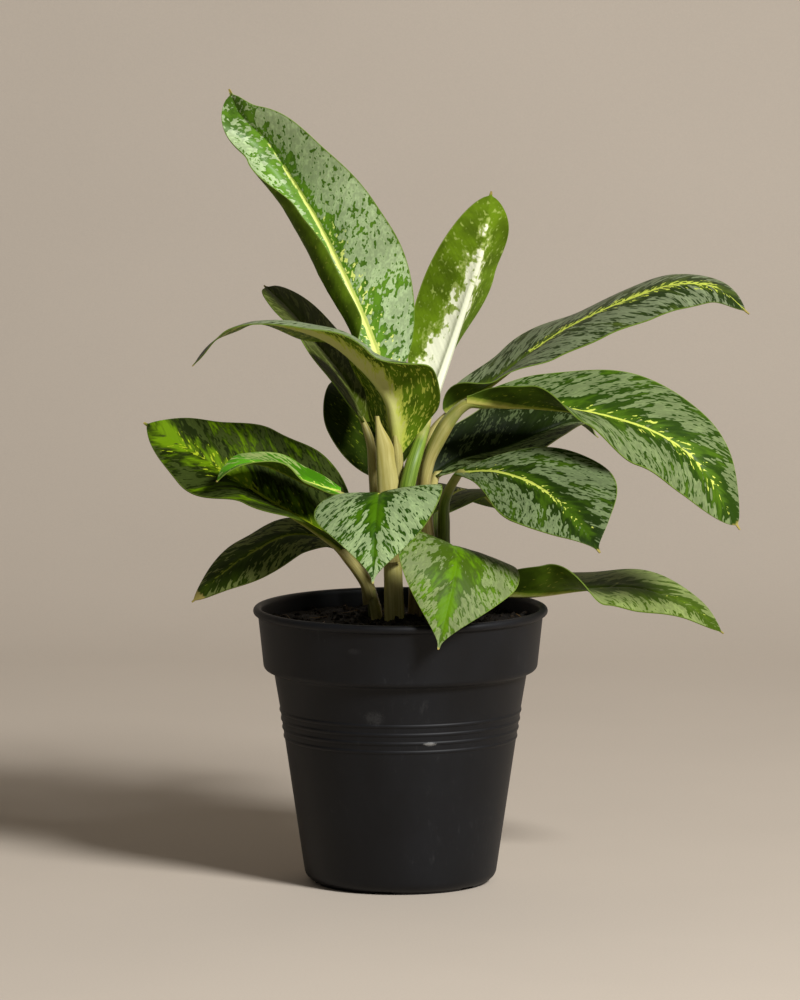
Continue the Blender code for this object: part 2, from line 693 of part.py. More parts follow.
def main():
    clear_scene()
    parts = new_collection(COLLECTION_NAME)
    cutters = new_collection("cutters", hidden=True)
    black_plastic = make_material("black_plastic", (0.012, 0.012, 0.013), 0.45)
    peat = make_material("peat", (0.020, 0.013, 0.008), 0.95)
    cream_stem = make_material("cream_stem", (0.52, 0.47, 0.26), 0.5)
    leaf_green = make_material("leaf_green", (0.075, 0.17, 0.045), 0.42)
    make_pot(parts, cutters, black_plastic)
    make_soil(parts, cutters, peat)
    for name, shoot in SHOOTS.items():
        make_shoot(name, shoot, parts, cutters, cream_stem)
    for name, leaf in LEAVES.items():
        make_blade(name, leaf, parts, leaf_green)


main()
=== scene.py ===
import math
import random

import bmesh
import bpy
from mathutils import Matrix, Vector, noise


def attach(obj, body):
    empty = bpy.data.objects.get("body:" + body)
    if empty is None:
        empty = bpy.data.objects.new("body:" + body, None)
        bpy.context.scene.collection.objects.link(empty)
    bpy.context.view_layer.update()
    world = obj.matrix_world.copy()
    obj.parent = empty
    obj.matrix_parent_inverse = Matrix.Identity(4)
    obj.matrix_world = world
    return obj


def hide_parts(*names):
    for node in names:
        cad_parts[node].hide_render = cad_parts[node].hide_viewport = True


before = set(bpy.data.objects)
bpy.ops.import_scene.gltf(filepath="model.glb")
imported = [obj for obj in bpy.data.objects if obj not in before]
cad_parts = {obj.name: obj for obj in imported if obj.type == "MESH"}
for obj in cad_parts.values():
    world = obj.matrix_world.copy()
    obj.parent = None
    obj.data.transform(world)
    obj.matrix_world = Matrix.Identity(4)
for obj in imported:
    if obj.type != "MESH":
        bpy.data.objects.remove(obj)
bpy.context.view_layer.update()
unit = 0.001  # sizes below are in millimetres, the scene is in metres


def colour(red, green, blue):
    # screen colour from 0 to 255 as the linear colour that a shader takes
    parts = [value / 255 for value in (red, green, blue)]
    linear = [part / 12.92 if part < 0.04045 else ((part + 0.055) / 1.055) ** 2.4 for part in parts]
    return (*linear, 1.0)


class Wire:
    # a socket that adds a Math node when it is used in an expression
    def __init__(self, board, socket):
        self.board = board
        self.socket = socket

    def math(self, operation, *values):
        return self.board.node("ShaderNodeMath", {"operation": operation}, dict(enumerate(values)))

    def __add__(self, other):
        return self.math("ADD", self, other)

    def __radd__(self, other):
        return self.math("ADD", other, self)

    def __sub__(self, other):
        return self.math("SUBTRACT", self, other)

    def __rsub__(self, other):
        return self.math("SUBTRACT", other, self)

    def __mul__(self, other):
        return self.math("MULTIPLY", self, other)

    def __rmul__(self, other):
        return self.math("MULTIPLY", other, self)

    def __truediv__(self, other):
        return self.math("DIVIDE", self, other)

    def __abs__(self):
        return self.math("ABSOLUTE", self)

    def wave(self):
        return self.math("SINE", self)

    def most(self, other):
        return self.math("MAXIMUM", self, other)

    def rise(self, low, high):
        # 0 at low and 1 at high, with a soft start and end
        values = {0: self, 1: low, 2: high, 3: 0.0, 4: 1.0}
        return self.board.node("ShaderNodeMapRange", {"interpolation_type": "SMOOTHSTEP"}, values)


shaderInputs = {
    "colour": "Base Color",
    "roughness": "Roughness",
    "normal": "Normal",
    "gloss": "Specular IOR Level",
    "coat": "Coat Weight",
    "coatRough": "Coat Roughness",
}


class Board:
    # one material and the nodes that feed its shader
    def __init__(self, name):
        self.material = bpy.data.materials.new(name)
        self.material.use_nodes = True
        self.tree = self.material.node_tree
        self.shader = self.tree.nodes["Principled BSDF"]

    def node(self, kind, settings=None, values=None, out=0):
        made = self.tree.nodes.new(kind)
        for key, value in (settings or {}).items():
            setattr(made, key, value)
        for key, value in (values or {}).items():
            self.plug(made.inputs[key], value)
        return Wire(self, made.outputs[out])

    def plug(self, socket, value):
        if isinstance(value, Wire):
            self.tree.links.new(value.socket, socket)
        else:
            socket.default_value = value

    def shade(self, **values):
        for key, value in values.items():
            self.plug(self.shader.inputs[shaderInputs[key]], value)
        return self.material

    def value(self, name):
        return self.node("ShaderNodeAttribute", {"attribute_name": name}, out="Fac")

    def point(self, x, y, z):
        return self.node("ShaderNodeCombineXYZ", None, {0: x, 1: y, 2: z})

    def stretched(self, x, y, z):
        # Object coordinates in millimetres times a factor for each axis
        place = self.node("ShaderNodeTexCoord", out="Object")
        values = {"Vector": place, "Scale": (x / unit, y / unit, z / unit)}
        return self.node("ShaderNodeMapping", None, values)

    def axis(self, number):
        # one of the Object coordinates in millimetres
        return self.node("ShaderNodeSeparateXYZ", None, {0: self.stretched(1.0, 1.0, 1.0)}, number)

    def grain(self, vector, scale=1.0, detail=2.0, rough=0.5, twist=0.0):
        values = {"Vector": vector, "Scale": scale, "Detail": detail, "Roughness": rough}
        return self.node("ShaderNodeTexNoise", None, {**values, "Distortion": twist})

    def mix(self, share, first, second):
        return self.node("ShaderNodeMix", {"data_type": "RGBA"}, {0: share, 6: first, 7: second}, 2)

    def bump(self, height, depth, strength=1.0):
        # depth is the real height of the relief in millimetres
        values = {"Strength": strength, "Distance": depth * unit, "Height": height}
        return self.node("ShaderNodeBump", None, values)


def finishPiece(name, bm, material, sharp=50.0):
    # the mesh as an object at the origin, smooth apart from edges over the angle
    for face in bm.faces:
        face.smooth = True
    for edge in bm.edges:
        if len(edge.link_faces) == 2 and edge.calc_face_angle() > math.radians(sharp):
            edge.smooth = False
    mesh = bpy.data.meshes.new(name)
    bm.to_mesh(mesh)
    bm.free()
    mesh.materials.append(material)
    piece = bpy.data.objects.new(name, mesh)
    bpy.context.scene.collection.objects.link(piece)
    return piece


def finishSized(name, bm, material):
    # from millimetres to metres, with the faces turned outward
    bmesh.ops.scale(bm, vec=(unit, unit, unit), verts=bm.verts)
    bmesh.ops.recalc_face_normals(bm, faces=bm.faces)
    return finishPiece(name, bm, material)


def doubled(bm, facing):
    # a second sheet under the first, joined at the rim: its points, each with the way it faces
    bm.normal_update()
    for vert in bm.verts:
        vert[facing] = vert.normal
    copied = bmesh.ops.extrude_face_region(bm, geom=bm.faces[:], use_keep_orig=True)
    return [item for item in copied["geom"] if isinstance(item, bmesh.types.BMVert)]


def addToPlant(piece, slotName, *nodes):
    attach(piece, "root")
    if nodes:
        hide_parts(*nodes)


def along(values, u):
    # values at equal steps from base to tip, read smoothly at u from 0 to 1
    place = min(max(u, 0.0), 1.0) * (len(values) - 1)
    step = min(int(place), len(values) - 2)
    blend = place - step
    blend = blend * blend * (3.0 - 2.0 * blend)
    return [a + (b - a) * blend for a, b in zip(values[step], values[step + 1])]


def alongOne(values, u):
    return along([(value,) for value in values], u)[0]


def sideOf(heading, faces, u):
    # the way across a leaf that runs along heading and faces along faces
    return heading.cross(Vector(along(faces, u))).normalized()


class SmoothLine:
    # a smooth line through a few points, read by its length from 0 to 1
    samples = 96

    def __init__(self, points):
        self.points = [Vector(point) for point in points]
        self.line = [self.spline(i / self.samples) for i in range(self.samples + 1)]
        self.reach = [0.0]
        for start, end in zip(self.line, self.line[1:]):
            self.reach.append(self.reach[-1] + (end - start).length)

    def spline(self, t):
        points = self.points
        last = len(points) - 1
        place = t * last
        i = min(int(place), last - 1)
        f = place - i
        before = points[i - 1] if i > 0 else points[0] * 2 - points[1]
        after = points[i + 2] if i + 2 <= last else points[last] * 2 - points[last - 1]
        here, there = points[i], points[i + 1]
        return 0.5 * (2 * here + (there - before) * f
                      + (2 * before - 5 * here + 4 * there - after) * f * f
                      + (3 * here - before - 3 * there + after) * f * f * f)

    def at(self, u):
        goal = min(max(u, 0.0), 1.0) * self.reach[-1]
        i = 0
        while i < self.samples - 1 and self.reach[i + 1] < goal:
            i += 1
        span = self.reach[i + 1] - self.reach[i]
        return self.line[i].lerp(self.line[i + 1], (goal - self.reach[i]) / span)

    def heading(self, u):
        step = 0.02
        return (self.at(min(u + step, 1.0)) - self.at(max(u - step, 0.0))).normalized()


# The plant's shoots: where each leaves the soil, its radius there and at its top, and its top's middle.
shoots = {
    "shoot_main": {"place": (-2.5, 0.0), "radius": (4.1, 3.8), "top": (-3.5, 1.0, 142.0)},
    "shoot_right": {"place": (6.2, 4.5), "radius": (3.3, 3.4), "top": (8.0, 3.0, 146.0)},
    "shoot_back": {"place": (15.1, 9.5), "radius": (3.1, 3.0), "top": (17.5, 9.0, 138.0)},
    "shoot_left": {"place": (-9.6, 3.6), "radius": (2.4, 2.3), "top": (-11.8, 3.6, 119.0)},
    "shoot_low": {"place": (-11.4, 12.5), "radius": (2.0, 1.9), "top": (-12.4, 13.6, 115.0)},
}

# Each leaf as in the CAD model: its stalk, midrib, the way its upper side faces, its width and
# outline, how each half folds and curls from base to tip, and the waves of its margins.
leaves = {
    "leaf_tall_left": {
        "shoot": "shoot_main",
        "stalk": [(-4.5, 2.5, 138), (-5, 5.5, 152), (-5.5, 9, 172), (-6, 11, 190)],
        "rib": [(-7, 13, 201.9), (-10, 19, 215.9), (-19, 27, 236.9), (-33, 32, 265.5), (-45, 33, 285.5),
                (-54, 34, 299.5), (-65, 33, 310.5), (-70, 31, 321.5)],
        "face": [(0.0, -1.0, 0.3), (0.1, -1.0, 0.25), (0.0, -1.0, 0.1)],
        "width": 53,
        "shape": (0.8, 0.85, 0.6),
        "left": [(5, 20), (0, 165), (-8, 170), (-8, 150), (-8, 90), (-10, -10)],
        "right": [(0, 0), (8, -5), (34, -12), (42, -10), (40, -10)],
        "waves": (2, 0.45),
    },
    "leaf_young_top": {
        "shoot": "shoot_right",
        "stalk": [(6.5, -1.5, 140), (2.5, -9.5, 157), (3.8, -9, 168), (7, -5, 178)],
        "rib": [(10, 4, 187.3), (15, 13, 200.8), (21, 22, 217.3), (27, 26, 235.2), (33, 27, 255.2),
                (37, 26, 280.2)],
        "face": [(-0.3, 0.93, 0.0), (-0.3, 0.93, 0.0), (-0.35, 0.93, 0.0)],
        "width": 42,
        "shape": (1.1, 0.6, 0.62),
        "left": [(88, -5), (72, -5), (50, -5), (5, 0)],
        "right": [(55, -15), (48, -12), (20, -5)],
        "waves": (2, 0.1),
    },
    "leaf_upper_right": {
        "shoot": "shoot_right",
        "stalk": [(9.5, 6.5, 142), (9, 12, 158), (9.5, 18.5, 172), (13.5, 25, 182)],
        "rib": [(18.5, 27, 189), (27, 28, 195), (37, 29, 201.5), (54, 32, 214.3), (66, 34, 222.3),
                (82, 36, 230.3), (97, 37, 236.3), (113, 37, 241.3), (130, 36, 239.8), (143, 33, 229.3)],
        "face": [(-0.2, -0.1, 1.0), (-0.3, -0.1, 0.9), (0.0, -0.2, 0.95), (0.2, -0.3, 0.9)],
        "width": 47,
        "shape": (0.9, 0.6, 0.7),
        "left": [(35, -10), (14, -12), (2, -18), (6, -25), (5, -15)],
        "right": [(80, 0), (14, -5), (3, -18), (2, -22), (-4, -22), (-12, -18), (-5, -10)],
        "waves": (2.5, 0.55),
    },
    "leaf_broad_right": {
        "shoot": "shoot_right",
        "stalk": [(10.5, 1.5, 142), (9, -0.5, 158), (10.5, -2, 171), (14.5, -3.5, 181), (20, -5.6, 190.5)],
        "rib": [(27, -8, 198), (42, -10, 197), (56, -12, 196.5), (80, -16, 193.5), (104, -20, 186),
                (121, -23, 173), (137, -25, 147.5)],
        "face": [(-0.2, -0.3, 1.0), (0.0, -0.5, 0.85), (0.6, -0.6, 0.5)],
        "width": 53,
        "shape": (1.03, 0.8, 0.66),
        "left": [(30, -12), (16, -20), (8, -20)],
        "right": [(80, 0), (55, 0), (30, -8), (10, -10), (3, -12), (0, -15)],
        "waves": (2.5, 0.3),
    },
    "leaf_shaded_right": {
        "shoot": "shoot_right",
        "stalk": [(11.4, 5.9, 137), (10.7, 8.3, 150)],
        "rib": [(13.5, 10, 165.5), (25, 16, 171.7), (41, 23, 175.4), (59, 30, 181.5), (72, 36, 184.5),
                (81.5, 42, 177.5)],
        "face": [(-0.3, -0.15, 1.0), (-0.1, -0.15, 1.0), (0.2, -0.05, 1.0)],
        "width": 39,
        "shape": (0.95, 0.6, 1.0),
        "left": [(62, -5), (58, -10), (45, -12), (20, -10)],
        "right": [(0, -5), (-3, -8), (10, -8), (12, -5)],
        "waves": (2, 0.4),
    },
    "leaf_middle_right": {
        "shoot": "shoot_back",
        "stalk": [(17.5, 8, 132), (17.5, 4, 146), (18, -1, 157)],
        "rib": [(23, -8, 169), (38, -22, 171), (52, -34, 168), (64, -45, 161), (73.5, -55.5, 151.5),
                (79.5, -62, 143)],
        "face": [(-0.3, -0.5, 0.8), (0.0, -0.75, 0.65), (0.2, -0.9, 0.35)],
        "width": 52,
        "shape": (1.5, 0.6, 1.3),
        "left": [(0, 0), (0, -8), (10, -10)],
        "right": [(20, 0), (20, -5), (25, -10)],
        "waves": (2, 0.7),
    },
    "leaf_front_right": {
        "shoot": "shoot_right",
        "stalk": [(8.2, 2.6, 118.6), (10.3, -2, 126)],
        "rib": [(16, -14, 134), (20, -30, 142), (23, -46, 141), (21, -58, 130), (15, -69, 105)],
        "face": [(0.42, -0.25, 0.88), (0.5, -0.5, 0.75), (0.1, -1.0, 0.35)],
        "width": 56,
        "shape": (0.85, 0.8, 1.25),
        "left": [(10, -10), (10, -15), (8, -10)],
        "right": [(5, -10), (0, -15), (5, -10)],
        "waves": (1.5, 0.1),
    },
    "leaf_front_left": {
        "shoot": "shoot_main",
        "stalk": [(-4.5, -0.5, 136), (-5, -5, 147)],
        "rib": [(-6, -14, 158), (-8, -28, 163), (-9, -46, 163), (-10, -60, 154), (-11, -73, 132)],
        "face": [(-0.05, -0.2, 1.0), (-0.25, -0.5, 0.9), (0.0, -1.0, 0.5)],
        "width": 53,
        "shape": (0.95, 0.95, 1.35),
        "left": [(10, -10), (5, -15), (5, -10)],
        "right": [(10, -10), (5, -15), (5, -10)],
        "waves": (1.5, 0.6),
    },
    "leaf_arching_left": {
        "shoot": "shoot_main",
        "stalk": [(-2.5, -1, 138), (-1.5, -3, 150), (-1, -4.5, 164)],
        "rib": [(-1.2, -6, 176), (-2.5, -8.5, 188), (-5.5, -12, 200), (-16, -18, 213.4), (-32, -21, 225.4),
                (-57, -22, 231.4), (-73, -21, 225.4), (-84, -20, 213.4)],
        "face": [(0.1, 1.0, 0.1), (0.25, 0.85, 0.35), (0.45, 0.7, 0.6), (0.3, 0.45, 0.85), (0.1, 0.08, 1.0),
                 (-0.6, -0.1, 0.8)],
        "width": 54,
        "shape": (0.76, 0.85, 0.7),
        "left": [(48, -10), (22, -25), (8, -68), (5, -45), (0, -5), (0, 0)],
        "right": [(40, -10), (52, -10), (44, -10), (18, -10), (0, -5), (0, 0)],
        "waves": (2.5, 0.3),
    },
    "leaf_behind_left": {
        "shoot": "shoot_main",
        "stalk": [(-6.0, 2.5, 138), (-9.5, 6, 150), (-11, 9, 166), (-12, 11, 178)],
        "rib": [(-14, 13, 187), (-22, 22, 203), (-33, 32, 216), (-44, 40, 229), (-56, 45, 240)],
        "face": [(0.6, -0.3, 0.75), (0.6, -0.25, 0.75), (0.6, -0.3, 0.7)],
        "width": 42,
        "shape": (1.0, 0.6, 0.35),
        "left": [(15, -10), (15, -10), (10, -10)],
        "right": [(15, -10), (15, -10), (10, -10)],
        "waves": (2, 0.3),
    },
    "leaf_dark_back": {
        "shoot": "shoot_main",
        "stalk": [(-3.5, 4.5, 134), (-6, 12, 147)],
        "rib": [(-9, 24, 163), (-11, 37, 178), (-13, 50, 191), (-15, 63, 198), (-16, 78, 199)],
        "face": [(0.1, -0.7, 0.7), (0.0, -0.6, 0.8), (-0.1, -0.3, 0.95)],
        "width": 40,
        "shape": (0.85, 0.65, 0.65),
        "left": [(15, -10), (15, -10), (10, -10)],
        "right": [(15, -10), (15, -10), (10, -10)],
        "waves": (2, 0),
    },
    "leaf_broad_left": {
        "shoot": "shoot_left",
        "stalk": [(-11.8, 3.6, 116), (-15, 3, 124)],
        "rib": [(-24, 0, 137), (-38, -4, 147.5), (-53, -7, 157), (-67, -9, 166.5), (-85, -10, 178.5),
                (-96, -9, 184.5), (-104, -7, 189)],
        "face": [(0.2, -0.7, 0.7), (0.15, -0.75, 0.6), (0.1, -0.8, 0.5)],
        "width": 57,
        "shape": (0.74, 0.5, 0.74),
        "left": [(58, -5), (56, -5), (48, -5), (15, -5), (5, 0)],
        "right": [(25, 0), (25, 0), (12, -5), (-8, -5), (0, 0)],
        "waves": (2.5, 0.5),
    },
    "leaf_narrow_left": {
        "shoot": "shoot_main",
        "stalk": [(-6.0, -0.5, 138), (-12, -5, 150)],
        "rib": [(-24, -11, 161), (-37, -17, 166), (-47, -22, 171), (-55, -27, 174.5), (-63, -32, 175.5),
                (-70, -35, 172.5), (-74, -37, 168.5)],
        "face": [(0.0, -0.4, 1.0), (0.0, -0.12, 1.0), (0.0, 0.14, 1.0), (-0.2, 0.1, 1.0)],
        "width": 24,
        "shape": (1.0, 0.75, 0.75),
        "left": [(2, 0), (2, 0), (0, 0)],
        "right": [(28, 0), (28, 0), (15, 0)],
        "waves": (2, 0.2),
    },
    "leaf_low_left": {
        "shoot": "shoot_low",
        "stalk": [(-12.4, 13.6, 112), (-14.5, 15, 122)],
        "rib": [(-22, 15.5, 133.5), (-32, 13.5, 139.5), (-46, 9, 141), (-60, 4, 135), (-73, 1, 126),
                (-85, -2, 115)],
        "face": [(-0.1, -0.4, 0.9), (-0.2, -0.5, 0.9), (-0.5, -0.4, 0.7)],
        "width": 37,
        "shape": (1.0, 1.0, 0.75),
        "left": [(18, -10), (6, -12), (0, -12)],
        "right": [(15, -10), (-5, -20), (0, -12)],
        "waves": (2, 0.6),
    },
    "leaf_low_right": {
        "shoot": "shoot_back",
        "stalk": [(15.4, 9.0, 108), (20, 11, 114)],
        "rib": [(32, 13, 117), (54, 17, 116), (78, 20, 118), (98, 18, 118), (117, 12, 112), (132, 6, 101)],
        "face": [(0.0, -0.2, 1.0), (0.0, -0.25, 1.0), (0.4, -0.3, 0.9)],
        "width": 42,
        "shape": (0.95, 0.75, 0.75),
        "left": [(20, -10), (5, -15), (5, -10)],
        "right": [(60, 60), (45, 40), (5, -12), (0, -15), (0, -10)],
        "waves": (2.5, 0.9),
    },
    "leaf_small_back": {
        "shoot": "shoot_back",
        "stalk": [(17.0, 10, 132), (15.5, 15, 139)],
        "rib": [(15, 26, 147), (19, 41, 152), (26, 57, 154), (34, 75, 150), (40, 91, 142)],
        "face": [(0.0, -0.2, 1.0), (0.0, -0.1, 1.0), (0.0, 0.2, 1.0)],
        "width": 40,
        "shape": (0.95, 0.75, 0.75),
        "left": [(15, -10), (10, -15), (5, -10)],
        "right": [(15, -10), (10, -15), (5, -10)],
        "waves": (2, 0.45),
    },
}

# Lengths in millimetres: what makes the form of every blade
bladeMake = {
    "cellsAcross": 40,
    "cellsAlong": 110,
    "edgeThick": 0.45,
    "ribThick": 1.9,  # how far the rib stands out below, at the base
    "ribSpread": 1.7,
    "groove": 0.5,
    "grooveSpread": 0.8,
    "neck": 2.4,
    "point": 0.3,
    "dripTip": 0.018,
    "edgeWave": 0.045,
    "veinSlant": 1.15,  # how far a side vein runs forward for each millimetre outward
    "veinSpacing": 7.5,
    "veinHeight": 0.16,
    "veinsStart": 4.0,  # the side veins reach their full height at a quarter of the way out
    "veinsEnd": 5.0,  # and fade over the last fifth of the length
    "pucker": 0.35,
    "puckerLong": 9.0,
    "puckerWide": 16.0,
    "belowRead": 9.0,  # the underside has no sunk rib, so its relief is read this far from it
    "gather": 1.5,  # over 1 sets the rows of points closer together at the rib
}
bladeLayers = (
    "lengthShare", "sideShare", "veinPlace", "ribDistance", "bandShare", "ribShare", "underGap", "underside",
)


def halfWidth(leaf, u):
    skew, basePower, tipPower = leaf["shape"]
    place = min(u / (1.0 - bladeMake["dripTip"]), 1.0)
    power = basePower + (tipPower - basePower) * place
    body = max(math.sin(math.pi * place ** skew), 0.0) ** power * leaf["width"] / 2
    neck = bladeMake["point"] + (bladeMake["neck"] - bladeMake["point"]) * (1.0 - u) ** 0.5
    return math.hypot(body, neck)


def bent(width, fold, curl):
    # across and up reach of a half blade that leaves at fold and turns by curl
    if abs(curl) < 0.01:
        return width * math.cos(fold), width * math.sin(fold)
    across = width * (math.sin(fold + curl) - math.sin(fold)) / curl
    up = width * (math.cos(fold) - math.cos(fold + curl)) / curl
    return across, up


def bladeRow(leaf, line, u):
    # what all points at one distance from the base share
    heading = line.heading(u)
    side = sideOf(heading, leaf["face"], u)
    return {
        "middle": line.at(u),
        "side": side,
        "up": side.cross(heading),
        "half": halfWidth(leaf, u),
        "left": along(leaf["left"], u),
        "right": along(leaf["right"], u),
    }


def bladePoint(leaf, row, u, v):
    fold, curl = row["right" if v > 0 else "left"]
    reach = abs(v)
    width = row["half"] * reach
    across, rise = bent(width, math.radians(fold), math.radians(curl) * reach)
    waves, start = leaf["waves"]
    wave = math.sin(math.tau * (waves * u + start) + math.copysign(1.2, v))
    rise += bladeMake["edgeWave"] * wave * reach * width * math.sin(math.pi * u)
    return row["middle"] + row["side"] * math.copysign(across, v) + row["up"] * rise


def bladeRelief(u, v, distance, vein, seed):
    # small forms of the upper side: the sunk rib, the side veins and the puckers between them
    reach = abs(v)
    make = bladeMake
    groove = -make["groove"] * (1.0 - u) ** 0.6 * math.exp(-(distance / make["grooveSpread"]) ** 2)
    fade = min(reach * make["veinsStart"], 1.0) * (1.0 - reach) * min((1.0 - u) * make["veinsEnd"], 1.0)
    ridge = (0.5 + 0.5 * math.cos(math.tau * vein / make["veinSpacing"])) ** 3
    veins = -make["veinHeight"] * ridge * fade
    spot = Vector((vein / make["puckerLong"], distance / make["puckerWide"], seed))
    return groove + veins + make["pucker"] * noise.noise(spot) * fade


def buildBlade(name, leaf, look, material, seed):
    line = SmoothLine(leaf["rib"])
    length = line.reach[-1]
    bm = bmesh.new()
    layers = {key: bm.verts.layers.float.new(key) for key in bladeLayers}
    facing = bm.verts.layers.float_vector.new("facing")
    across, lengthwise = bladeMake["cellsAcross"], bladeMake["cellsAlong"]
    bmesh.ops.create_grid(bm, x_segments=across, y_segments=lengthwise, size=1.0)
    rows = {}
    for vert in bm.verts:
        v = math.copysign(abs(vert.co.x) ** bladeMake["gather"], vert.co.x)
        u = (vert.co.y + 1.0) / 2
        key = round(u, 5)
        if key not in rows:
            rows[key] = bladeRow(leaf, line, u)
        row = rows[key]
        distance = v * row["half"]
        values = {
            "lengthShare": u,
            "sideShare": v,
            "veinPlace": u * length - abs(distance) * bladeMake["veinSlant"],
            "ribDistance": distance,
            "bandShare": 1.0 - abs(distance) / alongOne(look["band"], u),
            "ribShare": abs(distance) / alongOne(look["rib"], u),
            "underGap": abs(distance) - alongOne(look["underRib"], u),
        }
        for layer, value in values.items():
            vert[layers[layer]] = value
        vert.co = bladePoint(leaf, row, u, v)
    upper = list(bm.verts)
    lower = doubled(bm, facing)
    for vert in upper:
        u, v = vert[layers["lengthShare"]], vert[layers["sideShare"]]
        relief = bladeRelief(u, v, vert[layers["ribDistance"]], vert[layers["veinPlace"]], seed)
        vert.co += vert[facing] * relief
    for vert in lower:
        u, v = vert[layers["lengthShare"]], vert[layers["sideShare"]]
        distance = vert[layers["ribDistance"]]
        relief = bladeRelief(u, v, bladeMake["belowRead"], vert[layers["veinPlace"]], seed)
        rib = bladeMake["ribThick"] * (1.0 - u) ** 1.2 * math.exp(-(distance / bladeMake["ribSpread"]) ** 2)
        vert.co += vert[facing] * (relief - bladeMake["edgeThick"] - rib)
        vert[layers["underside"]] = 1.0
    bm.verts.layers.float_vector.remove(facing)
    return finishSized(name + "_blade", bm, material)


# How each leaf is coloured. Every leaf starts from plainLeaf and changes what differs. Half widths
# are in millimetres, from base to tip: band is the green band along the rib, rib the yellow line on
# it and underRib the pale line below. green is how much of the silver is flecked, streak how long a
# fleck is for its width, lean how far it follows the side veins and bleed how ragged the pale line is.
# soft is how soft a speck's edge is below, baseCream how much of the pale line shows at the base,
# leftShade how much painted shade darkens the left half, and paleRight how much painted light makes
# the lit right half show more silver. The yellow line runs from ribStart to ribEnd and its flecks to
# yellowEnd, as shares of the length.
plainLeaf = {
    "silver": (136, 152, 104),
    "dark": (36, 60, 12),
    "fresh": (66, 98, 18),
    "yellow": (196, 206, 92),
    "edge": (112, 136, 50),
    "green": -0.03,
    "size": 1.0,
    "streak": 1.6,
    "lean": 1.0,
    "band": (2, 4, 6, 8, 7, 4),
    "bandStrength": 0.16,
    "paleRight": 0.0,
    "rib": (0.8, 0.7, 0.65, 0.55, 0.45, 0.3),
    "ribStart": -0.2,
    "ribEnd": 0.72,
    "yellowFlecks": 0.0,
    "yellowReach": 5.0,
    "yellowEnd": 0.9,
    "under": (60, 80, 16),
    "underSpeck": (120, 132, 44),
    "underCover": -0.03,
    "underLine": (178, 178, 104),
    "underRib": (2.2, 1.6, 1.1, 0.7, 0.4),
    "bleed": 1.0,
    "soft": 0.015,
    "leftShade": 0.0,
    "baseCream": 1.0,
    "dryTip": 0.985,
    "gloss": 0.07,
    "coat": 0.05,
    "sheen": 0.5,
}
